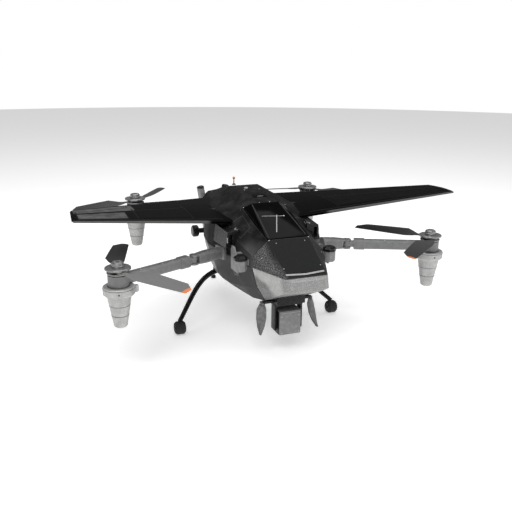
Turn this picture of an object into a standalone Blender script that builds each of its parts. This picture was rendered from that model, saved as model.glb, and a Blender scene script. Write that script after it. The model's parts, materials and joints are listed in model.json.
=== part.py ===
"""Folding drone with a fixed wing and four lift rotors, modelled in metres.

The nose points to -Y, the wing spans X and +Z is up. Every place below is given from the rotor
datum, the point midway between the two front rotors at their hub level, and the datum empty lifts
the whole craft so that its feet stand on z = 0.
"""
import math

import bmesh
import bpy
from mathutils import Matrix, Vector

# Where the rotor datum lies in the world.
DATUM = Vector((0.0, -0.1650, 0.1890))

# Clearance between touching pieces, and the wall of every moulded shell.
GAP = 0.0005
FIT = 0.0011
WALL = 0.0022

# Rotor places, from the datum.
FRONT_ROTOR = Vector((0.300, 0.0, 0.0))
REAR_ROTOR = Vector((0.2015, 0.3450, 0.0385))

# Rotor unit, measured along its own axis from the hub level.
MOTOR_RADIUS = 0.0146
MOTOR_TOP = -0.0070
MOTOR_BOTTOM = -0.0262
SHAFT_RADIUS = 0.0024
HUB_RADIUS = 0.0215
HUB_LOWER_RADIUS = 0.0185
HUB_CORE_RADIUS = 0.0046
CAP_RADIUS = 0.0100
CAP_TOP = 0.0140
SLOT_LOW = -0.0036
SLOT_HIGH = 0.0016
BLADE_PIVOT_RADIUS = 0.0125
BLADE_PIN_RADIUS = 0.0018
BLADE_EYE_RADIUS = 0.0066
FRONT_BLADE_LENGTH = 0.1450
REAR_BLADE_LENGTH = 0.1325
BLADE_ROOT_STATIONS = (0.0030, 0.0120, 0.0200, 0.0300, 0.0420)
BLADE_OUTER_SHARES = (0.48, 0.69, 0.88, 1.0)
BLADE_CHORD = 0.0330
POD_COLLAR_RADIUS = 0.0262
POD_TOP_RADIUS = 0.0202
POD_TIP_RADIUS = 0.0112
POD_TOP = -0.0268
POD_COLLAR_BOTTOM = -0.0425
POD_BOTTOM = -0.0980

# Rotor arms.
ARM_TOP = -0.0080
ARM_BOTTOM = -0.0260
ARM_HALF_WIDTH = 0.0075
CLAMP_RADIUS = 0.0174
FRONT_PIVOT = Vector((0.1545, 0.0660, 0.0))
FRONT_ROOT_END = Vector((0.0925, 0.0945, 0.0))
REAR_ARM_START = Vector((0.0380, 0.3450, 0.0385))
TONGUE_HALF_HEIGHT = 0.0058
TONGUE_HALF_WIDTH = 0.0062
HINGE_PIN_RADIUS = 0.0025
BLOCK_START = 0.0140

# The arm root from its fork inwards: distance (0 for the hull end), half width, rise and chamfer.
ROOT_HORN = (
    (0.0088, 0.0081, 0.0, 0.0026),
    (0.0240, 0.0098, 0.0012, 0.0044),
    (0.0480, 0.0102, 0.0010, 0.0050),
    (0.0, 0.0086, -0.0010, 0.0042),
)

# Directions of the two blades of each rotor, in degrees from +X towards the tail.
BLADE_DIRECTIONS = {
    "front_right": (-57.0, 74.0),
    "front_left": (130.0, 219.0),
    "rear_right": (57.0, 202.0),
    "rear_left": (170.0, 300.0),
}

# Fuselage sections: y, roof edge, shoulder, waist, lower edge and keel edge as (x, z).
BODY_SECTIONS = (
    (0.0000, (0.0396, 0.0262), (0.0680, -0.0010), (0.0690, -0.0220), (0.0600, -0.0570), (0.0440, -0.0860)),
    (0.0500, (0.0352, 0.0450), (0.0720, 0.0080), (0.0740, -0.0220), (0.0640, -0.0740), (0.0460, -0.0980)),
    (0.1100, (0.0290, 0.0660), (0.0880, 0.0330), (0.0920, -0.0190), (0.0680, -0.0860), (0.0450, -0.1060)),
    (0.1650, (0.0300, 0.0780), (0.0930, 0.0420), (0.0970, -0.0190), (0.0680, -0.0930), (0.0440, -0.1130)),
    (0.2250, (0.0290, 0.0800), (0.0840, 0.0430), (0.0880, -0.0180), (0.0640, -0.0960), (0.0400, -0.1150)),
    (0.3000, (0.0200, 0.0640), (0.0560, 0.0370), (0.0620, -0.0150), (0.0520, -0.0950), (0.0340, -0.1120)),
    (0.3800, (0.0100, 0.0430), (0.0340, 0.0220), (0.0400, -0.0110), (0.0380, -0.0780), (0.0240, -0.0920)),
    (0.4500, (0.0080, 0.0260), (0.0240, 0.0120), (0.0270, -0.0060), (0.0240, -0.0460), (0.0140, -0.0540)),
)
NOSE_FRONT = (
    -0.0786,
    (0.0384, -0.0215), (0.0390, -0.0220), (0.0394, -0.0228), (0.0426, -0.0470), (0.0330, -0.0500),
)
NOSE_TIP = (
    -0.0850,
    (0.0300, -0.0260), (0.0303, -0.0262), (0.0306, -0.0266), (0.0336, -0.0450), (0.0240, -0.0468),
)
NOSE_SEAM = -0.0020
TAIL_SEAM = 0.1950

# Canopy outline seen from above: half width at the bonnet and at its rear corners.
CANOPY_FRONT = (0.0396, 0.0012)
CANOPY_REAR = (0.0440, 0.1150)
CANOPY_TOP = (0.0290, 0.1090)

# Wing: leading and trailing edge lines (x, y, z of the mean plane) from root to tip.
WING_LEADING = (Vector((0.0500, 0.0980, 0.0345)), Vector((0.3660, 0.0190, 0.0800)))
WING_TRAILING = (Vector((0.0500, 0.3030, 0.0420)), Vector((0.3610, 0.0935, 0.0812)))
WING_ROOT_THICKNESS = 0.0185
WING_TIP_THICKNESS = 0.0080
WING_LIP = 0.0024
WING_LIP_CHORD = 0.12
AILERON_SPAN = (0.66, 0.95)
AILERON_CHORD = 0.0240
SPAR_RADIUS = 0.0040
SPAR_PLACE = Vector((0.0, 0.1700, 0.0450))
SPAR_HALF_LENGTH = 0.1150

# The intake mouth: its width, length and height.
INTAKE_MOUTH = (0.0070, 0.0145, 0.0200)

# Camera gimbal under the nose.
GIMBAL_Y = 0.0
GIMBAL_PLATE_TOP = -0.0700
GIMBAL_PLATE_BOTTOM = -0.0928
YOKE_BRIDGE = 0.0052
CAMERA_TOP = -0.1055
CAMERA_BOTTOM = -0.1520
CAMERA_PIVOT_Z = -0.1370
CAMERA_HALF_WIDTH = 0.0215
CAMERA_HALF_DEPTH = 0.0168
CHEEK_X = 0.0252
CHEEK_THICKNESS = 0.0044
GUARD_X = 0.0475

# Landing gear.
LEG_TOP = Vector((0.0640, 0.2330, -0.1020))
FOOT_CENTRE = Vector((0.1650, 0.1380, -0.1760))
FOOT_RADIUS = 0.0130
FOOT_HALF_LENGTH = 0.0095

MATERIALS = {}


# ---------------------------------------------------------------- materials

def material(name, colour, roughness, metallic=0.0):
    """A plain Principled material, made once and shared."""
    if name not in MATERIALS:
        made = bpy.data.materials.new(name)
        made.use_nodes = True
        shader = made.node_tree.nodes["Principled BSDF"]
        shader.inputs["Base Color"].default_value = (*colour, 1.0)
        shader.inputs["Roughness"].default_value = roughness
        shader.inputs["Metallic"].default_value = metallic
        made.diffuse_color = (*colour, 1.0)
        MATERIALS[name] = made
    return MATERIALS[name]


def dark_shell():
    return material("dark_shell", (0.060, 0.062, 0.063), 0.45)


def side_grey():
    return material("side_grey", (0.130, 0.132, 0.130), 0.50)


def tail_grey():
    return material("tail_grey", (0.300, 0.300, 0.290), 0.45)


def silver():
    return material("silver_paint", (0.560, 0.560, 0.550), 0.38, 0.35)


def bonnet_grey():
    return material("bonnet_grey", (0.040, 0.041, 0.041), 0.50)


def black_glass():
    return material("black_glass", (0.010, 0.010, 0.011), 0.08)


def wing_black():
    return material("wing_black", (0.018, 0.018, 0.019), 0.35)


def arm_grey():
    return material("arm_grey", (0.200, 0.203, 0.200), 0.45)


def blade_grey():
    return material("blade_grey", (0.075, 0.076, 0.074), 0.50)


def gloss_black():
    return material("gloss_black", (0.012, 0.012, 0.013), 0.15)


def rubber():
    return material("rubber", (0.035, 0.035, 0.036), 0.80)


def motor_metal():
    return material("motor_metal", (0.350, 0.350, 0.345), 0.35, 0.80)


def camera_grey():
    return material("camera_grey", (0.280, 0.285, 0.280), 0.45)


def orange():
    return material("orange", (0.780, 0.270, 0.120), 0.50)


def battery_blue():
    return material("battery_wrap", (0.050, 0.070, 0.110), 0.45)


def board_green():
    return material("circuit_board", (0.030, 0.120, 0.060), 0.50)


# ---------------------------------------------------------------- mesh helpers

def clear_scene():
    for item in list(bpy.data.objects):
        bpy.data.objects.remove(item, do_unlink=True)


def make_datum():
    empty = bpy.data.objects.new("datum", None)
    empty.location = DATUM
    bpy.context.scene.collection.objects.link(empty)
    return empty


def add_object(name, mesh, paint, place=(0, 0, 0), turn=0.0):
    """Link one named piece at its place, turned about Z by the given angle."""
    item = bpy.data.objects.new(name, mesh)
    item.location = Vector(place)
    item.rotation_euler = (0.0, 0.0, turn)
    item.parent = bpy.data.objects["datum"]
    bpy.context.scene.collection.objects.link(item)
    if paint is not None:
        mesh.materials.clear()
        mesh.materials.append(paint)
    return item


def finish_mesh(bm, name, smooth=False):
    bmesh.ops.recalc_face_normals(bm, faces=bm.faces[:])
    mesh = bpy.data.meshes.new(name)
    bm.to_mesh(mesh)
    bm.free()
    if smooth:
        mesh.shade_smooth()
        mesh.set_sharp_from_angle(angle=math.radians(32))
    return mesh


def ring_solid(name, rings, smooth=False):
    """A closed solid skinned over rings that all have the same number of points."""
    bm = bmesh.new()
    loops = []
    for ring in rings:
        loops.append([bm.verts.new(point) for point in ring])
    count = len(loops[0])
    for low, high in zip(loops, loops[1:]):
        for i in range(count):
            j = (i + 1) % count
            bm.faces.new((low[i], low[j], high[j], high[i]))
    bm.faces.new(loops[0])
    bm.faces.new(loops[-1])
    return finish_mesh(bm, name, smooth)


def turned(name, profile, segments=32, smooth=True):
    """A solid of revolution about Z from (radius, z) pairs, closed by its first and last rings."""
    rings = []
    for radius, height in profile:
        ring = []
        for i in range(segments):
            angle = 2.0 * math.pi * i / segments
            ring.append((radius * math.cos(angle), radius * math.sin(angle), height))
        rings.append(ring)
    return ring_solid(name, rings, smooth)


def prism(name, outline, low, high):
    """An outline of (x, y) points pulled up from low to high."""
    bottom = [(x, y, low) for x, y in outline]
    top = [(x, y, high) for x, y in outline]
    return ring_solid(name, (bottom, top))


def block(name, size, centre=(0, 0, 0), bevel=0.0):
    """A box, with its edges bevelled where a bevel is given."""
    bm = bmesh.new()
    bmesh.ops.create_cube(bm, size=1.0)
    bmesh.ops.scale(bm, vec=size, verts=bm.verts)
    bmesh.ops.translate(bm, vec=centre, verts=bm.verts)
    if bevel > 0.0:
        bmesh.ops.bevel(bm, geom=bm.edges[:], offset=bevel, segments=2, affect="EDGES", profile=0.6)
    return finish_mesh(bm, name)


def moved(mesh, matrix):
    mesh.transform(matrix)
    return mesh


def cutter(name, mesh, place=(0, 0, 0), turn=0.0):
    item = add_object(name, mesh, None, place, turn)
    item.hide_render = True
    item.display_type = "WIRE"
    return item


def boolean(item, tool, operation):
    step = item.modifiers.new(tool.name, "BOOLEAN")
    step.operation = operation
    step.solver = "EXACT"
    step.object = tool
    return item


def cut(item, tool):
    return boolean(item, tool, "DIFFERENCE")


def join(item, tool):
    return boolean(item, tool, "UNION")


def tube_rings(points, size, sides=10):
    """Rings along a path; size(t) gives the half width across and along the bend plane."""
    rings = []
    last = len(points) - 1
    for index, point in enumerate(points):
        ahead = points[min(index + 1, last)] - points[max(index - 1, 0)]
        ahead.normalize()
        side = ahead.cross(Vector((0.0, 0.0, 1.0)))
        if side.length < 1e-6:
            side = Vector((1.0, 0.0, 0.0))
        side.normalize()
        up = side.cross(ahead)
        across, along = size(index / last)
        ring = []
        for k in range(sides):
            angle = 2.0 * math.pi * (k + 0.5) / sides
            ring.append(point + side * across * math.cos(angle) + up * along * math.sin(angle))
        rings.append(ring)
    return rings


def curve_point(points, t):
    """A point of the Bezier curve over the given control points."""
    work = [Vector(point) for point in points]
    while len(work) > 1:
        work = [a.lerp(b, t) for a, b in zip(work, work[1:])]
    return work[0]


# ---------------------------------------------------------------- fuselage

def section_at(sections, y):
    """The fuselage section at y, between its stated neighbours."""
    for low, high in zip(sections, sections[1:]):
        if y <= high[0] or high is sections[-1]:
            t = (y - low[0]) / (high[0] - low[0])
            pairs = zip(low[1:], high[1:])
            return [Vector(a).lerp(Vector(b), t) for a, b in pairs]
    return None


def inset_corner(previous, corner, following, depth):
    """Move a corner inwards by depth from both of the lines that meet there."""
    into = (corner - previous).normalized()
    out = (following - corner).normalized()
    normal_in = Vector((-into.y, into.x))
    normal_out = Vector((-out.y, out.x))
    bisector = (normal_in + normal_out).normalized()
    return corner + bisector * depth / max(0.3, bisector.dot(normal_in))


def closed_section(points, depth):
    """Both sides of a half section, walked from +X over the top to -X, inset by depth."""
    right = [Vector((p[0], p[1])) for p in points]
    left = [Vector((-p[0], p[1])) for p in reversed(right)]
    whole = right + left
    count = len(whole)
    return [inset_corner(whole[i - 1], whole[i], whole[(i + 1) % count], depth) for i in range(count)]


def skin(name, sections, stations, first, last, depth=0.0, lift=0.0, drop=0.0):
    """A solid between stations, from half-section corner first up to corner last.

    Corners are numbered from the roof edge (0) to the keel edge (4). lift and drop move the open
    upper or lower edge past the seam, which is how a cutter leaves a shell open there.
    """
    rings = []
    for y in stations:
        half = section_at(sections, y)[first:last + 1]
        half = list(reversed(half))
        ring = []
        for corner in closed_section(half, depth):
            ring.append(Vector((corner.x, y, corner.y)))
        count = len(ring)
        low = count // 2 - len(half)
        for index in (0, count - 1):
            ring[index].z -= drop
        for index in (count // 2 - 1, count // 2):
            ring[index].z += lift
        rings.append(ring)
    return ring_solid(name, rings)


def inner_stations(stations, front, rear):
    """The same stations with new end places."""
    return [front] + [y for y in stations if front < y < rear] + [rear]


def body_stations(front, rear):
    return inner_stations([section[0] for section in BODY_SECTIONS], front, rear)


def nose_sections():
    return (NOSE_TIP, NOSE_FRONT, BODY_SECTIONS[0])


def make_upper_shell():
    """Roof and shoulders, from the windshield to the tail, with the cockpit opening."""
    stations = body_stations(NOSE_SEAM + GAP + 0.0020, 0.4500)
    outer = skin("upper_shell", BODY_SECTIONS, stations, 0, 2)
    shell = add_object("upper_shell", outer, dark_shell())
    inner_rings = inner_stations(stations, -0.0200, 0.4450)
    inner = skin("upper_hollow", BODY_SECTIONS, inner_rings, 0, 2, depth=WALL, drop=0.0120)
    cut(shell, cutter("upper_hollow", inner))
    cut(shell, cutter("canopy_opening", canopy_prism("canopy_opening", GAP)))
    cut(shell, spar_cutter("spar_hole_body"))
    return shell


def canopy_prism(name, grow):
    front_half, front_y = CANOPY_FRONT
    rear_half, rear_y = CANOPY_REAR
    top_half, top_y = CANOPY_TOP
    outline = [
        (front_half + grow, front_y - 0.0100),
        (rear_half + grow, rear_y + grow),
        (top_half, top_y + grow),
        (-top_half, top_y + grow),
        (-rear_half - grow, rear_y + grow),
        (-front_half - grow, front_y - 0.0100),
    ]
    return prism(name, outline, -0.0050, 0.1200)


def make_canopy():
    """The one-piece black windshield with its two quarter lights."""
    stations = body_stations(NOSE_SEAM + GAP + 0.0020, 0.1400)
    outer = skin("canopy", BODY_SECTIONS, stations, 0, 1)
    canopy = add_object("canopy", outer, black_glass())
    inner_rings = inner_stations(stations, -0.0100, 0.1500)
    inner = skin("canopy_hollow", BODY_SECTIONS, inner_rings, 0, 1, depth=WALL, drop=0.0300)
    cut(canopy, cutter("canopy_hollow", inner))
    keep = cutter("canopy_outline", canopy_prism("canopy_outline", 0.0))
    return boolean(canopy, keep, "INTERSECT")


def make_belly_shell():
    """The dark lower hull under the cabin, open at the top."""
    stations = body_stations(NOSE_SEAM + GAP + 0.0020, TAIL_SEAM - GAP)
    outer = skin("belly_shell", BODY_SECTIONS, stations, 2, 4)
    shell = add_object("belly_shell", outer, side_grey(), (0.0, 0.0, -GAP))
    inner_rings = inner_stations(stations, 0.0010, TAIL_SEAM + 0.0100)
    inner = skin("belly_hollow", BODY_SECTIONS, inner_rings, 2, 4, depth=WALL, lift=0.0120)
    return cut(shell, cutter("belly_hollow", inner, (0.0, 0.0, -GAP)))


def make_tail_fairing():
    """The light grey rear of the hull, open at the top and towards the belly."""
    stations = body_stations(TAIL_SEAM, 0.4500)
    outer = skin("tail_fairing", BODY_SECTIONS, stations, 2, 4)
    shell = add_object("tail_fairing", outer, tail_grey(), (0.0, 0.0, -GAP))
    inner_rings = inner_stations(stations, TAIL_SEAM - 0.0100, 0.4450)
    inner = skin("tail_hollow", BODY_SECTIONS, inner_rings, 2, 4, depth=WALL, lift=0.0120)
    return cut(shell, cutter("tail_hollow", inner, (0.0, 0.0, -GAP)))


def make_nose_fairing():
    """The silver chin, hollow behind its wall."""
    sections = nose_sections()
    stations = [NOSE_TIP[0], NOSE_FRONT[0], NOSE_SEAM]
    outer = skin("nose_fairing", sections, stations, 2, 4)
    shell = add_object("nose_fairing", outer, silver())
    inner_rings = [-0.0760, -0.0400, 0.0100]
    inner = skin("nose_hollow", sections, inner_rings, 2, 4, depth=2 * WALL, lift=0.0080)
    return cut(shell, cutter("nose_hollow", inner))


def make_bonnet():
    """The dark panel between the windshield and the chin, with its two side facets."""
    sections = nose_sections()
    stations = [NOSE_FRONT[0] + 0.0002, NOSE_SEAM]
    outer = skin("bonnet", sections, stations, 0, 2)
    shell = add_object("bonnet", outer, bonnet_grey(), (0.0, 0.0, GAP))
    inner_rings = [-0.0640, -0.0400, 0.0100]
    inner = skin("bonnet_hollow", sections, inner_rings, 0, 2, depth=WALL, drop=0.0100)
    return cut(shell, cutter("bonnet_hollow", inner, (0.0, 0.0, GAP)))


def make_fuselage():
    make_upper_shell()
    make_canopy()
    make_belly_shell()
    make_tail_fairing()
    make_nose_fairing()
    make_bonnet()


# ---------------------------------------------------------------- wing

def wing_line(line, t):
    return line[0].lerp(line[1], t)


def aerofoil_half_height(position):
    """Half thickness of the wing section, as a share of the full thickness."""
    root = math.sqrt(position)
    shape = 1.4845 * root - 0.6300 * position - 1.7580 * position ** 2
    return shape + 1.4215 * position ** 3 - 0.5180 * position ** 4


def wing_section(t, start=0.0, end=1.0, grow=0.0):
    """Points of the section at span fraction t, from chord fraction start to end and back."""
    lead = wing_line(WING_LEADING, t)
    trail = wing_line(WING_TRAILING, t)
    thickness = WING_ROOT_THICKNESS + (WING_TIP_THICKNESS - WING_ROOT_THICKNESS) * t
    steps = 8
    upper = []
    lower = []
    for i in range(steps + 1):
        share = 0.5 - 0.5 * math.cos(math.pi * i / steps)
        position = start + (end - start) * share
        middle = lead.lerp(trail, position)
        height = aerofoil_half_height(position) * thickness * 0.5 + 0.0006 * position + grow
        height += WING_LIP * (1.0 - 0.5 * t) * max(0.0, 1.0 - position / WING_LIP_CHORD)
        camber = 0.10 * thickness * math.sin(math.pi * position)
        upper.append(middle + Vector((0.0, 0.0, height + camber)))
        lower.append(middle + Vector((0.0, 0.0, -height + camber)))
    return upper + list(reversed(lower))


def mirror_points(points, side):
    return [Vector((point.x * side, point.y, point.z)) for point in points]


def chord_fraction_of_aileron(t):
    lead = wing_line(WING_LEADING, t)
    trail = wing_line(WING_TRAILING, t)
    return 1.0 - AILERON_CHORD / (trail - lead).length


def aileron_rings(side, first, last, ahead, grow):
    rings = []
    for t in (first, last):
        start = chord_fraction_of_aileron(t) - ahead
        rings.append(mirror_points(wing_section(t, start, 1.0 + grow * 20.0, grow), side))
    return rings


def aileron_hinge(side):
    """Two points of the aileron's hinge line."""
    ends = []
    for t in AILERON_SPAN:
        lead = wing_line(WING_LEADING, t)
        trail = wing_line(WING_TRAILING, t)
        ends.append(lead.lerp(trail, chord_fraction_of_aileron(t)))
    return mirror_points(ends, side)


def spar_cutter(name):
    mesh = turned(name, [(SPAR_RADIUS + GAP, -0.16), (SPAR_RADIUS + GAP, 0.16)], 20)
    moved(mesh, Matrix.Rotation(math.pi / 2, 4, "Y"))
    return cutter(name, mesh, SPAR_PLACE)


def fuselage_cutter(name):
    """The hull's outer form, grown by the clearance, which trims the wing root."""
    stations = body_stations(-0.0100, 0.4500)
    return cutter(name, skin(name, BODY_SECTIONS, stations, 0, 4, depth=-FIT))


def nose_cutter(name):
    """The nose's outer form, grown by the clearance."""
    stations = [NOSE_TIP[0], NOSE_FRONT[0], 0.0]
    return cutter(name, skin(name, nose_sections(), stations, 0, 4, depth=-FIT))


def make_wing(side_name, side):
    """One wing panel, trimmed to the hull, with the aileron's notch and the spar's socket."""
    rings = []
    for t in (0.0, 0.5, 0.985):
        rings.append(mirror_points(wing_section(t), side))
    tip = [point.copy() for point in rings[-1]]
    centre = sum(tip, Vector()) / len(tip)
    closing = []
    for point in tip:
        pulled = point.lerp(centre, 0.22)
        closing.append(pulled + Vector((0.0030 * side, 0.0, 0.0)))
    rings.append(closing)
    panel = add_object("wing_" + side_name, ring_solid("wing_" + side_name, rings, True), wing_black())
    cut(panel, fuselage_cutter("root_trim_" + side_name))
    first, last = AILERON_SPAN
    margin = 0.0025
    rings = aileron_rings(side, first - margin, last + margin, 0.022, 0.0040)
    notch = ring_solid("notch_" + side_name, rings)
    cut(panel, cutter("notch_" + side_name, notch))
    cut(panel, spar_cutter("spar_socket_" + side_name))
    return panel


def make_aileron(side_name, side):
    """The trailing edge flap, with its rounded nose on the hinge line."""
    first, last = AILERON_SPAN
    hinge = aileron_hinge(side)
    middle = (hinge[0] + hinge[1]) / 2
    rings = aileron_rings(side, first, last, 0.0, 0.0)
    local = [[point - middle for point in ring] for ring in rings]
    name = "aileron_" + side_name
    flap = add_object(name, ring_solid(name, local), wing_black(), middle)
    return flap


def make_spar():
    """The carbon tube that joins the wing panels through the hull."""
    mesh = turned("wing_spar", [(SPAR_RADIUS, -SPAR_HALF_LENGTH), (SPAR_RADIUS, SPAR_HALF_LENGTH)], 20)
    moved(mesh, Matrix.Rotation(math.pi / 2, 4, "Y"))
    return add_object("wing_spar", mesh, gloss_black(), SPAR_PLACE)


def make_wings():
    for side_name, side in (("right", -1), ("left", 1)):
        make_wing(side_name, side)
        make_aileron(side_name, side)
    make_spar()


# ---------------------------------------------------------------- rotor units

def make_motor(prefix, place):
    """The motor's fixed can and shaft."""
    profile = [
        (MOTOR_RADIUS - 0.0015, MOTOR_BOTTOM),
        (MOTOR_RADIUS, MOTOR_BOTTOM + 0.0015),
        (MOTOR_RADIUS, MOTOR_TOP - 0.0010),
        (MOTOR_RADIUS - 0.0010, MOTOR_TOP),
        (SHAFT_RADIUS, MOTOR_TOP),
        (SHAFT_RADIUS, CAP_TOP - 0.0040),
    ]
    return add_object(prefix + "_motor", turned("motor", profile, 24), motor_metal(), place)


def make_motor_pod(prefix, place):
    """The silver collar and tapered leg under the motor, hollow and open at the top."""
    outer = [
        (POD_TIP_RADIUS - 0.0020, POD_BOTTOM),
        (POD_TIP_RADIUS, POD_BOTTOM + 0.0020),
        (POD_TOP_RADIUS, POD_COLLAR_BOTTOM - 0.0010),
        (POD_COLLAR_RADIUS - 0.0030, POD_COLLAR_BOTTOM),
        (POD_COLLAR_RADIUS, POD_COLLAR_BOTTOM + 0.0030),
        (POD_COLLAR_RADIUS, POD_TOP - 0.0012),
        (POD_COLLAR_RADIUS - 0.0012, POD_TOP),
    ]
    inner = [
        (POD_TOP_RADIUS - 0.0015, POD_TOP),
        (POD_TOP_RADIUS - 0.0030, POD_COLLAR_BOTTOM),
        (POD_TIP_RADIUS - 0.0030, POD_BOTTOM + 0.0040),
    ]
    name = prefix + "_motor_pod"
    pod = add_object(name, turned("motor_pod", outer + inner, 28), silver(), place)
    inboard = Vector((math.copysign(POD_COLLAR_RADIUS + 0.0020, -place.x), 0.0, 0.0))
    knob = turned("knob", [(0.0034, POD_COLLAR_BOTTOM + 0.0022), (0.0042, -0.0390), (0.0042, -0.0300), (0.0034, -0.0284)], 12)
    return join(pod, cutter(name + "_knob", knob, place + inboard))


def make_hub(prefix, place, turn):
    """The turning hub: two clamp discs, the core between them, blade pins and the cap."""
    profile = [
        (SHAFT_RADIUS + GAP, -0.0056),
        (HUB_LOWER_RADIUS, -0.0056),
        (HUB_LOWER_RADIUS, SLOT_LOW),
        (HUB_CORE_RADIUS, SLOT_LOW),
        (HUB_CORE_RADIUS, SLOT_HIGH),
        (HUB_RADIUS, SLOT_HIGH),
        (HUB_RADIUS, SLOT_HIGH + 0.0026),
        (HUB_RADIUS - 0.0012, SLOT_HIGH + 0.0036),
        (CAP_RADIUS + 0.0030, SLOT_HIGH + 0.0036),
        (CAP_RADIUS, SLOT_HIGH + 0.0026),
        (CAP_RADIUS, CAP_TOP - 0.0022),
        (CAP_RADIUS - 0.0022, CAP_TOP),
        (SHAFT_RADIUS + GAP, CAP_TOP),
    ]
    name = prefix + "_hub"
    hub = add_object(name, ring_torus("hub", profile), motor_metal(), place, turn)
    for number, sign in ((1, 1), (2, -1)):
        pin_line = [(BLADE_PIN_RADIUS, SLOT_LOW - 0.0008), (BLADE_PIN_RADIUS, SLOT_HIGH + 0.0012)]
        pin = turned("pin", pin_line, 10)
        pin = moved(pin, Matrix.Translation((BLADE_PIVOT_RADIUS * sign, 0.0, 0.0)))
        join(hub, cutter(name + "_pin_" + str(number), pin, place, turn))
    return hub


def ring_torus(name, profile, segments=24):
    """A turned solid whose profile closes on itself, leaving a bore along the axis."""
    bm = bmesh.new()
    rings = []
    for i in range(segments):
        angle = 2.0 * math.pi * i / segments
        ring = [bm.verts.new((r * math.cos(angle), r * math.sin(angle), z)) for r, z in profile]
        rings.append(ring)
    count = len(profile)
    for i in range(segments):
        here = rings[i]
        there = rings[(i + 1) % segments]
        for k in range(count):
            following = (k + 1) % count
            bm.faces.new((here[k], there[k], there[following], here[following]))
    return finish_mesh(bm, name, True)


def blade_station(x, length):
    """Chord, share of the chord ahead of the pin line, pitch and half thickness at x."""
    t = x / length
    spread = min(1.0, max(0.0, (x - 0.0120) / 0.0300))
    spread = spread * spread * (3.0 - 2.0 * spread)
    chord = 0.0105 + (BLADE_CHORD - 0.0105) * spread - 0.0070 * t * t
    lead = 0.5 + 0.18 * spread
    pitch = math.radians(14.0 - 6.0 * t) * spread
    return chord, lead, pitch, 0.0019 - 0.0011 * t


def blade_mesh(name, hand, length):
    """A blade along +X from its fold pin; hand is 1 or -1 for the side that leads."""
    profile = (
        (1.0, 0.15), (0.7, 0.9), (0.3, 1.0), (0.0, 0.15),
        (0.0, -0.15), (0.3, -0.7), (0.7, -0.7), (1.0, -0.15),
    )
    stations = list(BLADE_ROOT_STATIONS) + [length * share for share in BLADE_OUTER_SHARES]
    rings = []
    for x in stations:
        chord, lead, pitch, thick = blade_station(x, length)
        tip = x == stations[-1]
        ring = []
        for share, rise in profile:
            kept = 0.55 * share if tip else share
            across = chord * (lead - 1.0 + kept)
            height = thick * rise
            ring.append((
                x,
                hand * (across * math.cos(pitch) - height * math.sin(pitch)),
                across * math.sin(pitch) + height * math.cos(pitch),
            ))
        rings.append(ring)
    return ring_solid(name, rings, True)


def make_blade(name, place, pivot, direction, hand, length):
    """One folding blade, its origin on its fold pin."""
    middle = (SLOT_LOW + SLOT_HIGH) / 2
    seat = place + pivot + Vector((0.0, 0.0, middle))
    blade = add_object(name, blade_mesh(name, hand, length), blade_grey(), seat, direction)
    eye = turned("eye", [(BLADE_EYE_RADIUS, -0.0020), (BLADE_EYE_RADIUS, 0.0020)], 16)
    join(blade, cutter(name + "_eye", eye, seat, direction))
    bore = turned("eye_bore", [(BLADE_PIN_RADIUS + GAP, -0.0060), (BLADE_PIN_RADIUS + GAP, 0.0060)], 10)
    cut(blade, cutter(name + "_bore", bore, seat, direction))
    return blade


def bar(name, start, end, half_width, low, high):
    """A straight bar between two places, with its long edges chamfered."""
    direction = (end - start).normalized()
    side = Vector((-direction.y, direction.x, 0.0))
    edge = 0.0026
    outline = (
        (half_width, low + edge), (half_width, high - edge), (half_width - edge, high),
        (edge - half_width, high), (-half_width, high - edge), (-half_width, low + edge),
        (edge - half_width, low), (half_width - edge, low),
    )
    rings = []
    for place in (start, end):
        rings.append([place + side * across + Vector((0.0, 0.0, height)) for across, height in outline])
    return ring_solid(name, rings)


def flat_line(start, end):
    """Unit direction and length from start to end, seen from above."""
    line = Vector((end.x - start.x, end.y - start.y, 0.0))
    length = line.length
    return line / length, length


def clamp_onto_motor(arm, name, place):
    """Join the clamp ring to an arm and bore it for the motor."""
    clamp = turned("clamp", [(CLAMP_RADIUS, ARM_BOTTOM - 0.0003), (CLAMP_RADIUS, ARM_TOP + 0.0004)], 28)
    join(arm, cutter(name + "_clamp", clamp, place))
    bore = turned("motor_bore", [(MOTOR_RADIUS + GAP, -0.05), (MOTOR_RADIUS + GAP, 0.02)], 28)
    return cut(arm, cutter(name + "_bore", bore, place))


def make_folding_arm(prefix, rotor, pivot):
    """The folding arm: motor clamp, tube, end block and hinge tongue, its origin on the pivot."""
    name = prefix + "_arm"
    outward, length = flat_line(pivot, rotor)
    seat = Vector((pivot.x, pivot.y, rotor.z))
    near = outward * (BLOCK_START + 0.0180)
    far = outward * (length - MOTOR_RADIUS - 0.0008)
    arm = add_object(name, bar(name, near, far, ARM_HALF_WIDTH, ARM_BOTTOM, ARM_TOP), arm_grey(), seat)
    end = bar("end_block", outward * BLOCK_START, outward * (BLOCK_START + 0.0200),
              ARM_HALF_WIDTH + 0.0015, ARM_BOTTOM - 0.0010, ARM_TOP + 0.0010)
    join(arm, cutter(name + "_block", end, seat))
    middle = (ARM_TOP + ARM_BOTTOM) / 2
    low = middle - TONGUE_HALF_HEIGHT
    high = middle + TONGUE_HALF_HEIGHT
    tongue = bar("tongue", outward * 0.0, outward * (BLOCK_START + 0.0040), TONGUE_HALF_WIDTH, low, high)
    join(arm, cutter(name + "_tongue", tongue, seat))
    eye = turned("arm_eye", [(TONGUE_HALF_WIDTH + 0.0002, low + 0.0002), (TONGUE_HALF_WIDTH + 0.0002, high - 0.0002)], 20)
    join(arm, cutter(name + "_eye", eye, seat))
    hole = turned("pin_hole", [(HINGE_PIN_RADIUS + GAP, -0.05), (HINGE_PIN_RADIUS + GAP, 0.02)], 16)
    cut(arm, cutter(name + "_pin_hole", hole, seat))
    return clamp_onto_motor(arm, name, seat + outward * length)


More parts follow.
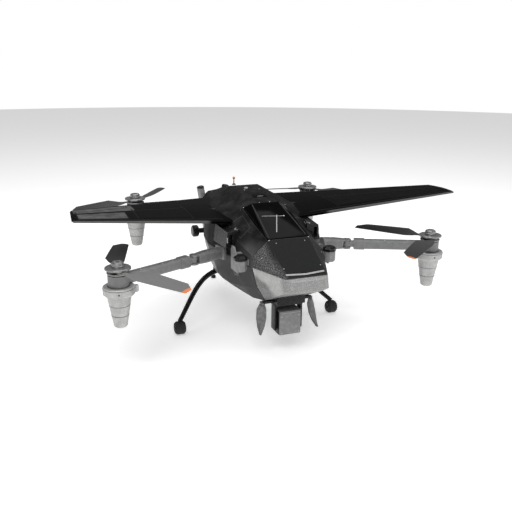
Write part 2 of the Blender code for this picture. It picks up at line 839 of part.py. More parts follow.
def make_fixed_arm(prefix, rotor, start):
    """The rigid rear arm, from the tail of the hull to its motor clamp."""
    name = prefix + "_arm"
    outward, length = flat_line(start, rotor)
    seat = Vector((start.x, start.y, rotor.z))
    far = outward * (length - MOTOR_RADIUS - 0.0008)
    tube = bar(name, outward * 0.0, far, ARM_HALF_WIDTH, ARM_BOTTOM, ARM_TOP)
    arm = add_object(name, tube, gloss_black(), seat)
    clamp_onto_motor(arm, name, seat + outward * length)
    return cut(arm, fuselage_cutter(name + "_trim"))


def make_arm_root(prefix, rotor, pivot, root_end):
    """The fixed bracket on the hull: flange, link, the fork's two ears and the hinge pin."""
    name = prefix + "_arm_root"
    inward, length = flat_line(pivot, root_end)
    seat = Vector((pivot.x, pivot.y, rotor.z))
    middle = (ARM_TOP + ARM_BOTTOM) / 2
    low = ARM_BOTTOM - 0.0006
    high = ARM_TOP + 0.0006
    radius = ARM_HALF_WIDTH + 0.0006
    across = Vector((-inward.y, inward.x, 0.0))
    rings = []
    for along, half_width, lift, corner in ROOT_HORN:
        top = high + lift
        bottom = low - lift
        outline = (
            (half_width, bottom + corner), (half_width, top - corner), (half_width - corner, top),
            (corner - half_width, top), (-half_width, top - corner), (-half_width, bottom + corner),
            (corner - half_width, bottom), (half_width - corner, bottom),
        )
        start = inward * (along if along else length)
        rings.append([start + across * wide + Vector((0.0, 0.0, tall)) for wide, tall in outline])
    root = add_object(name, ring_solid(name, rings), arm_grey(), seat)
    ears = turned("ears", [(radius, low + 0.0003), (radius, high - 0.0003)], 24)
    join(root, cutter(name + "_ears", ears, seat))
    cheeks = bar("cheeks", inward * 0.0, inward * 0.0100, radius - 0.0002, low + 0.0002, high - 0.0002)
    join(root, cutter(name + "_cheeks", cheeks, seat))
    slot_low = middle - TONGUE_HALF_HEIGHT - GAP
    slot_high = middle + TONGUE_HALF_HEIGHT + GAP
    slot = prism("fork_slot", circle_outline(0.0095, 24), slot_low, slot_high)
    cut(root, cutter(name + "_slot", slot, seat))
    side = Vector((-inward.y, inward.x, 0.0))
    corners = (side * 0.0120 + inward * 0.0072, inward * 0.0072 - side * 0.0120,
               -side * 0.0120 - inward * 0.0120, side * 0.0120 - inward * 0.0120)
    throat = prism("fork_throat", [(c.x, c.y) for c in corners], slot_low + 0.0001, slot_high - 0.0001)
    cut(root, cutter(name + "_throat", throat, seat))
    pin = turned("hinge_pin", [(HINGE_PIN_RADIUS, low - 0.0012), (HINGE_PIN_RADIUS, high + 0.0012)], 16)
    join(root, cutter(name + "_pin", pin, seat))
    plate = block("flange", (0.0070, 0.0260, 0.0240), bevel=0.0012)
    place = seat + inward * (length - 0.0020) + Vector((0.0, 0.0, middle))
    join(root, cutter(name + "_flange", plate, place, math.copysign(math.radians(18.0), -pivot.x)))
    return cut(root, fuselage_cutter(name + "_trim"))


def circle_outline(radius, segments):
    points = []
    for i in range(segments):
        angle = 2.0 * math.pi * i / segments
        points.append((radius * math.cos(angle), radius * math.sin(angle)))
    return points


def make_rotor(prefix, rotor, hand, length):
    """Motor, pod, hub and two folding blades of one rotor."""
    first, second = (math.radians(angle) for angle in BLADE_DIRECTIONS[prefix])
    bisector = (first + second) / 2
    line = bisector - math.pi / 2
    make_motor(prefix, rotor)
    make_motor_pod(prefix, rotor)
    make_hub(prefix, rotor, line)
    for letter, direction, angle in (("a", first, line), ("b", second, line + math.pi)):
        pivot = Vector((math.cos(angle), math.sin(angle), 0.0)) * BLADE_PIVOT_RADIUS
        make_blade(prefix + "_blade_" + letter, rotor, pivot, direction, hand, length)


def make_rotors():
    for side_name, side in (("right", -1), ("left", 1)):
        mirrored = Vector((side, 1.0, 1.0))
        front = FRONT_ROTOR * mirrored
        rear = REAR_ROTOR * mirrored
        make_rotor("front_" + side_name, front, -side, FRONT_BLADE_LENGTH)
        make_rotor("rear_" + side_name, rear, side, REAR_BLADE_LENGTH)
        make_folding_arm("front_" + side_name, front, FRONT_PIVOT * mirrored)
        make_arm_root("front_" + side_name, front, FRONT_PIVOT * mirrored, FRONT_ROOT_END * mirrored)
        make_fixed_arm("rear_" + side_name, rear, REAR_ARM_START * mirrored)


# ---------------------------------------------------------------- hull fittings

def make_intake(side_name, side):
    """The side scoop, open at the front."""
    name = "intake_" + side_name
    y_front, y_rear = 0.0640, 0.1250
    mouth = ((0.0660, 0.0310), (0.0910, 0.0270), (0.0950, -0.0020), (0.0700, -0.0030))
    back = ((0.0860, 0.0340), (0.0945, 0.0300), (0.0985, -0.0020), (0.0880, -0.0030))
    rings = [[Vector((x * side, y, z)) for x, z in ring] for y, ring in ((y_front, mouth), (y_rear, back))]
    scoop = add_object(name, ring_solid(name, rings), gloss_black())
    hollow = block(name + "_mouth", INTAKE_MOUTH)
    seat = Vector((0.0848 * side, y_front + INTAKE_MOUTH[1] / 2 - 0.0040, 0.0130))
    cut(scoop, cutter(name + "_mouth", hollow, seat))
    return cut(scoop, fuselage_cutter(name + "_trim"))


def make_side_pod(side_name, side):
    """The small capped sensor pod beside the cabin, with its upright plate and two stalks."""
    name = "side_pod_" + side_name
    place = Vector((0.0866 * side, 0.0080, -0.0140))
    rings = []
    barrel = (
        (-0.0140, 0.0092), (-0.0126, 0.0104), (0.0052, 0.0104),
        (0.0058, 0.0116), (0.0106, 0.0116), (0.0140, 0.0078),
    )
    for height, reach in barrel:
        ring = []
        for across, along in ((1.0, 0.42), (0.42, 1.0), (-0.42, 1.0), (-1.0, 0.42),
                              (-1.0, -0.42), (-0.42, -1.0), (0.42, -1.0), (1.0, -0.42)):
            ring.append(Vector((across * reach, along * reach, height)))
        rings.append(ring)
    pod = add_object(name, ring_solid(name, rings), camera_grey(), place)
    arm = block("pod_stalk", (0.0240, 0.0080, 0.0100), (-0.0140 * side, 0.0040, -0.0010))
    join(pod, cutter(name + "_stalk", arm, place))
    outline = (
        (0.0060, -0.0215), (0.0420, -0.0215), (0.0420, 0.0150),
        (0.0370, 0.0220), (0.0260, 0.0220), (0.0120, 0.0046),
    )
    rings = []
    for x in (0.0006, 0.0034):
        rings.append([Vector((x * side, y, z)) for y, z in outline])
    join(pod, cutter(name + "_plate", ring_solid("pod_plate", rings), place))
    brace = block("pod_brace", (0.0220, 0.0080, 0.0090), (-0.0100 * side, 0.0320, 0.0050))
    join(pod, cutter(name + "_brace", brace, place))
    return cut(pod, fuselage_cutter(name + "_trim"))


def make_side_sensor(side_name, side):
    """The barrel on a short neck at the rear of the hull."""
    name = "rear_sensor_" + side_name
    place = Vector((0.0700 * side, 0.3500, -0.0420))
    profile = [(0.0105, -0.0070), (0.0130, -0.0048), (0.0130, 0.0048), (0.0105, 0.0070)]
    barrel = moved(turned(name, profile, 28), Matrix.Rotation(math.pi / 2, 4, "Y"))
    item = add_object(name, barrel, gloss_black(), place)
    neck = turned("neck", [(0.0052, 0.0), (0.0066, 0.0380)], 16)
    neck = moved(neck, Matrix.Rotation(-side * math.pi / 2, 4, "Y"))
    join(item, cutter(name + "_neck", neck, place))
    return cut(item, fuselage_cutter(name + "_trim"))


def make_tail_tube(side_name, side):
    """A short capped tube that leans out of the tail's shoulder."""
    name = "tail_tube_" + side_name
    profile = [(0.0070, -0.0140), (0.0085, -0.0080), (0.0085, 0.0170), (0.0078, 0.0192), (0.0060, 0.0200)]
    tube = moved(turned(name, profile, 24), Matrix.Rotation(side * 0.16, 4, "Y"))
    item = add_object(name, tube, camera_grey(), Vector((0.0280 * side, 0.4360, 0.0215)))
    return cut(item, fuselage_cutter(name + "_trim"))


def make_antenna():
    """The whip on the roof, with its foot and its ball."""
    profile = [(0.0040, 0.0), (0.0040, 0.0015), (0.0011, 0.0030), (0.0009, 0.0120), (0.0022, 0.0128),
               (0.0030, 0.0148), (0.0022, 0.0168), (0.0008, 0.0174)]
    return add_object("antenna", turned("antenna", profile, 16), orange(), (0.0, 0.2880, 0.0690))


def make_cockpit_frame():
    """The bulkhead behind the bonnet, with the windshield's post and crossbar."""
    half = section_at(BODY_SECTIONS, 0.0)
    rings = []
    for y in (0.0020, 0.0040):
        corners = closed_section(list(reversed(half)), WALL + 5 * GAP)
        rings.append([Vector((corner.x, y, corner.y)) for corner in corners])
    item = add_object("cockpit_frame", ring_solid("cockpit_frame", rings), camera_grey())
    foot = Vector((0.0, 0.0030, 0.0190))
    head = Vector((0.0, 0.0560, 0.0410))
    post = ring_solid("windshield_post", tube_rings([foot, head], lambda t: (0.0012, 0.0012), 4))
    join(item, cutter("windshield_post", post))
    cross = block("windshield_bar", (0.0400, 0.0022, 0.0022), head - Vector((0.0, 0.0015, 0.0004)))
    return join(item, cutter("windshield_bar", cross))


def make_internals():
    """The battery pack in the belly and the flight controller above it."""
    battery = block("battery", (0.0700, 0.1150, 0.0480), bevel=0.0030)
    add_object("battery", battery, battery_blue(), (0.0, 0.1180, -0.0620))
    board = block("flight_controller", (0.0560, 0.0620, 0.0140), bevel=0.0010)
    add_object("flight_controller", board, board_green(), (0.0, 0.1250, -0.0280))


def make_fittings():
    for side_name, side in (("right", -1), ("left", 1)):
        make_intake(side_name, side)
        make_side_pod(side_name, side)
        make_side_sensor(side_name, side)
        make_tail_tube(side_name, side)
    make_antenna()
    make_cockpit_frame()
    make_internals()


# ---------------------------------------------------------------- camera gimbal

def make_gimbal_mount():
    """The fixed plate under the nose, with the yaw bore and the bar that carries the guards."""
    height = GIMBAL_PLATE_TOP - GIMBAL_PLATE_BOTTOM
    centre = Vector((0.0, GIMBAL_Y, GIMBAL_PLATE_BOTTOM))
    plate = block("gimbal_mount", (0.0540, 0.0400, height), (0.0, 0.0, height / 2), 0.0012)
    item = add_object("gimbal_mount", plate, gloss_black(), centre)
    cross = block("guard_bar", (2 * GUARD_X - 0.0030, 0.0100, 0.0044), (0.0, 0.0030, 0.0027))
    join(item, cutter("guard_bar", cross, centre))
    cut(item, fuselage_cutter("gimbal_mount_trim"))
    cut(item, nose_cutter("gimbal_mount_nose_trim"))
    hole = turned("yaw_hole", [(0.0085, -0.0050), (0.0085, 0.0050)], 24)
    return cut(item, cutter("yaw_hole", hole, centre))


def make_gimbal_yoke():
    """The yaw yoke: spigot, bridge and two cheeks that hold the camera."""
    top = GIMBAL_PLATE_BOTTOM - GAP
    centre = Vector((0.0, GIMBAL_Y, top))
    span = (2 * CHEEK_X + CHEEK_THICKNESS, 0.0180, YOKE_BRIDGE)
    bridge = block("gimbal_yoke", span, (0.0, 0.0, -YOKE_BRIDGE / 2), 0.0008)
    item = add_object("gimbal_yoke", bridge, gloss_black(), centre)
    spigot = turned("spigot", [(0.0080, -0.0020), (0.0080, 0.0048)], 24)
    join(item, cutter("yoke_spigot", spigot, centre))
    drop = top - CAMERA_PIVOT_Z
    for number, side in ((1, -1), (2, 1)):
        height = drop + 0.0070
        cheek = block("cheek", (CHEEK_THICKNESS, 0.0160, height), (CHEEK_X * side, 0.0, -height / 2), 0.0009)
        join(item, cutter("yoke_cheek_" + str(number), cheek, centre))
        pivot = turned("pivot_hole", [(0.0045, -0.0060), (0.0045, 0.0060)], 18)
        moved(pivot, Matrix.Rotation(math.pi / 2, 4, "Y"))
        place = Vector((CHEEK_X * side, GIMBAL_Y, CAMERA_PIVOT_Z))
        cut(item, cutter("yoke_pivot_" + str(number), pivot, place))
    return item


def make_camera():
    """The camera body with its two tilt trunnions, its origin on the tilt axis."""
    seat = Vector((0.0, GIMBAL_Y, CAMERA_PIVOT_Z))
    size = (2 * CAMERA_HALF_WIDTH, 2 * CAMERA_HALF_DEPTH, CAMERA_TOP - CAMERA_BOTTOM)
    rise = (CAMERA_TOP + CAMERA_BOTTOM) / 2 - CAMERA_PIVOT_Z
    item = add_object("camera", block("camera", size, (0.0, 0.0, rise), 0.0030), camera_grey(), seat)
    reach = CHEEK_X + 0.0026
    trunnion = turned("trunnion", [(0.0040, -reach), (0.0040, reach)], 18)
    moved(trunnion, Matrix.Rotation(math.pi / 2, 4, "Y"))
    join(item, cutter("camera_trunnion", trunnion, seat))
    return item


def make_guard(side_name, side):
    """The claw-like leaf that hangs beside the camera from the mount's bar."""
    name = "camera_guard_" + side_name
    rings = []
    shape = ((0.0, 0.0050, 0.0, 0.0), (0.0100, 0.0088, 0.0010, 0.0), (0.0260, 0.0092, 0.0030, -0.0040),
             (0.0400, 0.0066, 0.0055, -0.0090), (0.0520, 0.0020, 0.0085, -0.0150))
    facing = math.radians(65.0)
    for drop, half, out, ahead in shape:
        ring = []
        for share, depth in ((-1.0, 0.0006), (-0.4, 0.0030), (0.4, 0.0030), (1.0, 0.0006),
                             (1.0, -0.0006), (0.4, 0.0010), (-0.4, 0.0010), (-1.0, -0.0006)):
            across = share * half
            x = out + depth * math.cos(facing) + across * math.sin(facing)
            y = ahead + across * math.cos(facing) - depth * math.sin(facing)
            ring.append(Vector((side * x, y, -drop)))
        rings.append(ring)
    place = Vector((GUARD_X * side, GIMBAL_Y + 0.0030, GIMBAL_PLATE_BOTTOM - 0.0010))
    leaf = add_object(name, ring_solid(name, rings, True), camera_grey(), place)
    lug = block("guard_lug", (0.0036, 0.0090, 0.0062), (0.0010 * side, 0.0, 0.0011))
    return join(leaf, cutter(name + "_lug", lug, place))


def make_gimbal():
    make_gimbal_mount()
    make_gimbal_yoke()
    make_camera()
    for side_name, side in (("right", -1), ("left", 1)):
        make_guard(side_name, side)


# ---------------------------------------------------------------- landing gear

def make_leg(side_name, side):
    """The swept strut that curves out of the hull and down to its foot."""
    name = "landing_leg_" + side_name
    foot = FOOT_CENTRE + Vector((0.0, 0.0, FOOT_RADIUS + 0.0004))
    knee = Vector((LEG_TOP.x + 0.0420, LEG_TOP.y - 0.0300, LEG_TOP.z + 0.0060))
    lower = Vector((LEG_TOP.x + 0.0560, LEG_TOP.y - 0.0500, LEG_TOP.z - 0.0180))
    points = []
    for i in range(13):
        point = curve_point((LEG_TOP - Vector((0.02, -0.012, 0.0)), knee, lower, foot), i / 12)
        points.append(Vector((point.x * side, point.y, point.z)))
    rings = tube_rings(points, lambda t: (0.0062 - 0.0016 * t, 0.0056 - 0.0012 * t), 8)
    leg = add_object(name, ring_solid(name, rings, True), gloss_black())
    cut(leg, cutter(name + "_foot_trim", foot_mesh("foot_trim", side, GAP), foot_place(side)))
    return cut(leg, fuselage_cutter(name + "_trim"))


def foot_place(side):
    return Vector((FOOT_CENTRE.x * side, FOOT_CENTRE.y, FOOT_CENTRE.z))


def foot_mesh(name, side, grow=0.0):
    """A short barrel that lies across the craft."""
    r = FOOT_RADIUS + grow
    half = FOOT_HALF_LENGTH + grow
    profile = [(r - 0.0026, -half), (r, 0.0030 - half), (r, half - 0.0030), (r - 0.0026, half)]
    return moved(turned(name, profile, 24), Matrix.Rotation(side * math.pi / 2, 4, "Y"))


def make_foot(side_name, side):
    name = "foot_" + side_name
    return add_object(name, foot_mesh(name, side), rubber(), foot_place(side))


def make_tail_skid():
    """The thin sprung rod that stands under the tail."""
    top = Vector((0.0, 0.3900, -0.0800))
    foot = Vector((0.0, 0.4400, FOOT_CENTRE.z - FOOT_RADIUS + 0.0030))
    points = [curve_point((top, Vector((0.0, 0.4200, -0.1100)), foot), i / 6) for i in range(7)]
    rings = tube_rings(points, lambda t: (0.0028, 0.0028), 8)
    skid = add_object("tail_skid", ring_solid("tail_skid", rings, True), gloss_black())
    pad = turned("skid_pad", [(0.0050, -0.0030), (0.0060, -0.0020), (0.0055, 0.0030)], 16)
    join(skid, cutter("skid_pad", pad, foot))
    return cut(skid, fuselage_cutter("skid_trim"))


def make_landing_gear():
    for side_name, side in (("right", -1), ("left", 1)):
        make_leg(side_name, side)
        make_foot(side_name, side)
    make_tail_skid()


def main():
    clear_scene()
    make_datum()
    make_fuselage()
    make_wings()
    make_rotors()
    make_fittings()
    make_gimbal()
    make_landing_gear()


main()
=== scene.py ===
"""Looks for the winged quadrotor drone: materials, fine detail, camera, light and floor."""
import json
import math

import bmesh
import bpy
from mathutils import Matrix, Vector
from mathutils.bvhtree import BVHTree

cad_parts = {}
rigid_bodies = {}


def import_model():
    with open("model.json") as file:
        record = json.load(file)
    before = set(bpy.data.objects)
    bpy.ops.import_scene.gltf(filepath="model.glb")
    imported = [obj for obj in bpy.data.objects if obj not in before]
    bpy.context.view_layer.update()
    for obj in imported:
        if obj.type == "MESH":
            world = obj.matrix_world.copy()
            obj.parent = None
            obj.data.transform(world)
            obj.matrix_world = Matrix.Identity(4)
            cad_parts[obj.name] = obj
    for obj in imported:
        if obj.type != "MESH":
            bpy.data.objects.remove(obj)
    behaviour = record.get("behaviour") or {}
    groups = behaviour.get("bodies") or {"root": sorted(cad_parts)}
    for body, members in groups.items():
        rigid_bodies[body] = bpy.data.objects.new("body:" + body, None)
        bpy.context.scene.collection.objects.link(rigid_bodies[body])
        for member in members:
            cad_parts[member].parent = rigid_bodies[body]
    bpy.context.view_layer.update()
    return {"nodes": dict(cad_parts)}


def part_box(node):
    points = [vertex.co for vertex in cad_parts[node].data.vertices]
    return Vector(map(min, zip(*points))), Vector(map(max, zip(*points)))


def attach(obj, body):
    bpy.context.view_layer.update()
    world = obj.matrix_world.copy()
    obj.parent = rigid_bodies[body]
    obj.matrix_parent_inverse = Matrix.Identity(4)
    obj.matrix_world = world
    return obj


# ---------------------------------------------------------------- scene cleared, frame loaded

for item in list(bpy.data.objects):
    bpy.data.objects.remove(item, do_unlink=True)

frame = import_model()
NODES = frame["nodes"]

# Where the rotor datum lies, and the camera as fitted to it.
DATUM = Vector((0.0, -0.1650, 0.1890))
CAMERA_PLACE = DATUM + Vector((-0.4584, -1.0131, 0.3294))
CAMERA_AZIMUTH = math.radians(-21.42)
CAMERA_ELEVATION = math.radians(16.91)
CAMERA_ROLL = math.radians(0.44)
SENSOR_WIDTH = 36.0
LENS = 45.96

SIDES = (("left", 1.0), ("right", -1.0))
ROTORS = ("front_left", "front_right", "rear_left", "rear_right")

# Leading and trailing edge of the wing at root and tip, from the wing's own box.
WING_LOW, WING_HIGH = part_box("wing_left")
WING_ROOT_SETBACK = 0.277
WING_TIP_CHORD = 0.260
WING_DEPTH = WING_HIGH.y - WING_LOW.y
WING_FRONT_ROOT = Vector((WING_LOW.x, WING_LOW.y + WING_ROOT_SETBACK * WING_DEPTH, 0.0))
WING_FRONT_TIP = Vector((WING_HIGH.x, WING_LOW.y, 0.0))
WING_REAR_ROOT = Vector((WING_LOW.x, WING_HIGH.y, 0.0))
WING_REAR_TIP = Vector((WING_HIGH.x, WING_LOW.y + WING_TIP_CHORD * WING_DEPTH, 0.0))

# The rotor parts that carry detail, measured from the rotor's axis.
CAP_RADIUS = 0.0100
CAP_SCREW_CIRCLE = 0.0062
BELL_RADIUS = 0.0146
COLLAR_RADIUS = 0.0262
COLLAR_HEIGHT = 0.0160
CONE_RADIUS = 0.0202
CONE_TAPER = 0.0090
CONE_LENGTH = 0.0550

# How far the thin raised strips stand off the skin.
TRIM_HEIGHT = 0.0003
SEAL_HEIGHT = 0.0005


# ---------------------------------------------------------------- camera, light, floor

def look_matrix(azimuth, elevation, roll):
    """Camera axes for a view direction given by azimuth and elevation, rolled about it."""
    ahead = Vector((
        -math.sin(azimuth) * math.cos(elevation),
        math.cos(azimuth) * math.cos(elevation),
        -math.sin(elevation),
    ))
    right = Vector((math.cos(azimuth), math.sin(azimuth), 0.0))
    up = right.cross(ahead)
    rolled_right = right * math.cos(roll) + up * math.sin(roll)
    rolled_up = up * math.cos(roll) - right * math.sin(roll)
    return Matrix((rolled_right, rolled_up, -ahead)).transposed().to_4x4()


def make_camera():
    data = bpy.data.cameras.new("camera_view")
    data.sensor_width = SENSOR_WIDTH
    data.lens = LENS
    data.clip_start = 0.02
    data.clip_end = 50.0
    item = bpy.data.objects.new("camera_view", data)
    bpy.context.scene.collection.objects.link(item)
    turned = look_matrix(CAMERA_AZIMUTH, CAMERA_ELEVATION, CAMERA_ROLL)
    item.matrix_world = Matrix.Translation(CAMERA_PLACE) @ turned
    bpy.context.scene.camera = item


def make_area_light(name, place, target, size, energy):
    data = bpy.data.lights.new(name, "AREA")
    data.shape = "RECTANGLE"
    data.size = size[0]
    data.size_y = size[1]
    data.energy = energy
    item = bpy.data.objects.new(name, data)
    bpy.context.scene.collection.objects.link(item)
    item.location = place
    item.rotation_mode = "QUATERNION"
    item.rotation_quaternion = (Vector(target) - Vector(place)).to_track_quat("-Z", "Y")


def make_world():
    world = bpy.data.worlds.new("studio")
    world.use_nodes = True
    bpy.context.scene.world = world
    tree = world.node_tree
    shader = tree.nodes["Background"]
    shader.inputs["Color"].default_value = (1.0, 1.0, 1.0, 1.0)
    ray = tree.nodes.new("ShaderNodeLightPath")
    strength = tree.nodes.new("ShaderNodeMapRange")
    strength.inputs["To Min"].default_value = 0.24
    strength.inputs["To Max"].default_value = 1.0
    tree.links.new(ray.outputs["Is Camera Ray"], strength.inputs["Value"])
    tree.links.new(strength.outputs["Result"], shader.inputs["Strength"])


def make_floor():
    bm = bmesh.new()
    bmesh.ops.create_circle(bm, cap_ends=True, segments=96, radius=6.0)
    mesh = bpy.data.meshes.new("floor")
    bm.to_mesh(mesh)
    bm.free()
    item = bpy.data.objects.new("floor", mesh)
    item.location = (0.0, 0.0, -0.0006)
    bpy.context.scene.collection.objects.link(item)
    paint = Look("floor_pale", (0.93, 0.93, 0.93), 0.9)
    paint.constant("Specular IOR Level", 0.0)
    glow = paint.tree.nodes.new("ShaderNodeEmission")
    glow.inputs["Color"].default_value = (1.0, 1.0, 1.0, 1.0)
    glow.inputs["Strength"].default_value = 0.42
    both = paint.tree.nodes.new("ShaderNodeAddShader")
    paint.tree.links.new(paint.shader.outputs["BSDF"], both.inputs[0])
    paint.tree.links.new(glow.outputs["Emission"], both.inputs[1])
    paint.tree.links.new(both.outputs["Shader"], paint.tree.nodes["Material Output"].inputs["Surface"])
    mesh.materials.append(paint.material)


def make_studio():
    make_camera()
    make_world()
    make_floor()
    make_area_light("key", (-0.9, -1.5, 2.0), (0.0, -0.05, 0.12), (1.6, 1.2), 30.0)
    make_area_light("top", (0.2, 0.3, 2.2), (0.0, 0.0, 0.15), (2.0, 2.0), 26.0)
    make_area_light("fill", (1.8, -1.4, 0.8), (0.0, 0.0, 0.15), (1.2, 1.2), 9.0)
    bpy.context.scene.view_settings.view_transform = "Standard"
    bpy.context.scene.view_settings.look = "None"


# ---------------------------------------------------------------- material toolkit

class Look:
    """A Principled material whose colour, roughness and relief come from nodes in object space."""

    def __init__(self, name, colour, roughness, metallic=0.0):
        self.material = bpy.data.materials.new(name)
        self.material.use_nodes = True
        self.tree = self.material.node_tree
        self.shader = self.tree.nodes["Principled BSDF"]
        self.shader.inputs["Metallic"].default_value = metallic
        self.shader.inputs["Roughness"].default_value = roughness
        self.shader.inputs["Base Color"].default_value = (*colour, 1.0)
        self.material.diffuse_color = (*colour, 1.0)
        self.colour = self.plain(colour)
        self.roughness = roughness
        self.height = None
        self.coords = self.tree.nodes.new("ShaderNodeTexCoord").outputs["Object"]
        self.split = None

    def constant(self, socket, value):
        self.shader.inputs[socket].default_value = value

    def plain(self, colour):
        node = self.tree.nodes.new("ShaderNodeRGB")
        node.outputs[0].default_value = (*colour, 1.0)
        return node.outputs[0]

    def feed(self, socket, value):
        if hasattr(value, "links"):
            self.tree.links.new(value, socket)
        else:
            socket.default_value = value

    def axis(self, letter):
        if self.split is None:
            self.split = self.tree.nodes.new("ShaderNodeSeparateXYZ")
            self.tree.links.new(self.coords, self.split.inputs[0])
        return self.split.outputs[letter]

    def sum(self, kind, first, second=0.0, clamp=False):
        node = self.tree.nodes.new("ShaderNodeMath")
        node.operation = kind
        node.use_clamp = clamp
        self.feed(node.inputs[0], first)
        self.feed(node.inputs[1], second)
        return node.outputs[0]

    def stretched(self, stretch):
        node = self.tree.nodes.new("ShaderNodeMapping")
        node.inputs["Scale"].default_value = stretch
        self.tree.links.new(self.coords, node.inputs["Vector"])
        return node.outputs[0]

    def noise(self, size, detail=3.0, stretch=None, rough=0.55):
        """Cloud noise whose blotches are about size metres across."""
        node = self.tree.nodes.new("ShaderNodeTexNoise")
        node.inputs["Scale"].default_value = 1.0 / size
        node.inputs["Detail"].default_value = detail
        node.inputs["Roughness"].default_value = rough
        where = self.stretched(stretch) if stretch else self.coords
        self.tree.links.new(where, node.inputs["Vector"])
        return node.outputs["Fac"]

    def flakes(self, size):
        """A different random value in every grain of the given size."""
        node = self.tree.nodes.new("ShaderNodeTexVoronoi")
        node.inputs["Scale"].default_value = 1.0 / size
        self.tree.links.new(self.coords, node.inputs["Vector"])
        grey = self.tree.nodes.new("ShaderNodeSeparateColor")
        self.tree.links.new(node.outputs["Color"], grey.inputs[0])
        return grey.outputs[0]

    def fit(self, value, low, high, out_low=0.0, out_high=1.0):
        """Maps low..high onto out_low..out_high, held at both ends."""
        node = self.tree.nodes.new("ShaderNodeMapRange")
        node.clamp = True
        self.feed(node.inputs["Value"], value)
        node.inputs["From Min"].default_value = low
        node.inputs["From Max"].default_value = high
        node.inputs["To Min"].default_value = out_low
        node.inputs["To Max"].default_value = out_high
        return node.outputs["Result"]

    def blend(self, amount, first, second):
        node = self.tree.nodes.new("ShaderNodeMix")
        node.data_type = "RGBA"
        self.feed(node.inputs["Factor"], amount)
        self.feed(node.inputs["A"], first)
        self.feed(node.inputs["B"], second)
        return node.outputs["Result"]

    def blend_values(self, amount, first, second):
        node = self.tree.nodes.new("ShaderNodeMix")
        node.data_type = "FLOAT"
        self.feed(node.inputs[0], amount)
        self.feed(node.inputs[2], first)
        self.feed(node.inputs[3], second)
        return node.outputs[0]

    def over(self, amount, colour, roughness=None):
        """Lays a colour, and a roughness if given, over what is there, by amount."""
        self.colour = self.blend(amount, self.colour, self.plain(colour))
        if roughness is not None:
            self.roughness = self.blend_values(amount, self.roughness, roughness)

    def raised(self, value, millimetres):
        """Adds value (0 to 1) as relief of so many millimetres."""
        step = self.sum("MULTIPLY", value, millimetres * 0.001)
        self.height = step if self.height is None else self.sum("ADD", self.height, step)

    def edges(self, radius):
        """1 along convex and concave edges, 0 on flats."""
        bevel = self.tree.nodes.new("ShaderNodeBevel")
        bevel.samples = 6
        bevel.inputs["Radius"].default_value = radius
        plain = self.tree.nodes.new("ShaderNodeNewGeometry")
        dot = self.tree.nodes.new("ShaderNodeVectorMath")
        dot.operation = "DOT_PRODUCT"
        self.tree.links.new(bevel.outputs[0], dot.inputs[0])
        self.tree.links.new(plain.outputs["Normal"], dot.inputs[1])
        return self.fit(dot.outputs["Value"], 0.995, 0.93)

    def band(self, value, low, high, soft=0.0003):
        """1 where value lies between low and high."""
        above = self.fit(value, low - soft, low + soft)
        below = self.fit(value, high + soft, high - soft)
        return self.sum("MULTIPLY", above, below)

    def done(self):
        self.feed(self.shader.inputs["Base Color"], self.colour)
        self.feed(self.shader.inputs["Roughness"], self.roughness)
        if self.height is not None:
            bump = self.tree.nodes.new("ShaderNodeBump")
            bump.inputs["Distance"].default_value = 1.0
            bump.inputs["Strength"].default_value = 1.0
            self.tree.links.new(self.height, bump.inputs["Height"])
            self.tree.links.new(bump.outputs["Normal"], self.shader.inputs["Normal"])
        return self.material


# ---------------------------------------------------------------- finishes

def silver_paint():
    """Metallic silver paint: bright flakes, faint clouds, brighter worn edges."""
    look = Look("silver_sparkle", (0.36, 0.36, 0.355), 0.42, 0.30)
    clouds = look.noise(0.012, 4.0)
    look.over(look.fit(clouds, 0.40, 0.70), (0.46, 0.46, 0.45))
    low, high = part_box("nose_fairing")
    front = look.band(look.axis("X"), low.x * 0.62, high.x * 0.95, 0.001)
    nose = look.sum("MULTIPLY", look.fit(look.axis("Y"), high.y + 0.004, high.y), front)
    look.over(nose, (0.235, 0.236, 0.232))
    slope = look.sum("SUBTRACT", look.axis("Z"), look.sum("MULTIPLY", look.axis("Y"), 0.42))
    chin = look.fit(slope, low.z + 0.126, low.z + 0.116)
    behind = look.fit(look.axis("Y"), low.y + 0.030, low.y + 0.050)
    body = look.fit(look.axis("Y"), high.y + 0.004, high.y)
    hull = look.fit(look.sum("ABSOLUTE", look.axis("X")), 0.100, 0.098)
    under = look.sum("MULTIPLY", look.sum("MULTIPLY", chin, behind), look.sum("MULTIPLY", body, hull))
    look.over(look.sum("MULTIPLY", under, 0.8), (0.075, 0.076, 0.074))
    sparkle = look.fit(look.flakes(0.0007), 0.80, 1.0)
    look.over(look.sum("MULTIPLY", sparkle, 0.55), (0.78, 0.78, 0.77), 0.30)
    grit = look.fit(look.noise(0.0011, 2.0), 0.60, 0.72)
    look.over(look.sum("MULTIPLY", grit, 0.45), (0.20, 0.20, 0.20))
    look.over(look.sum("MULTIPLY", look.edges(0.0009), 0.7), (0.86, 0.86, 0.85), 0.28)
    look.raised(look.noise(0.0009, 2.0), 0.018)
    return look.done()


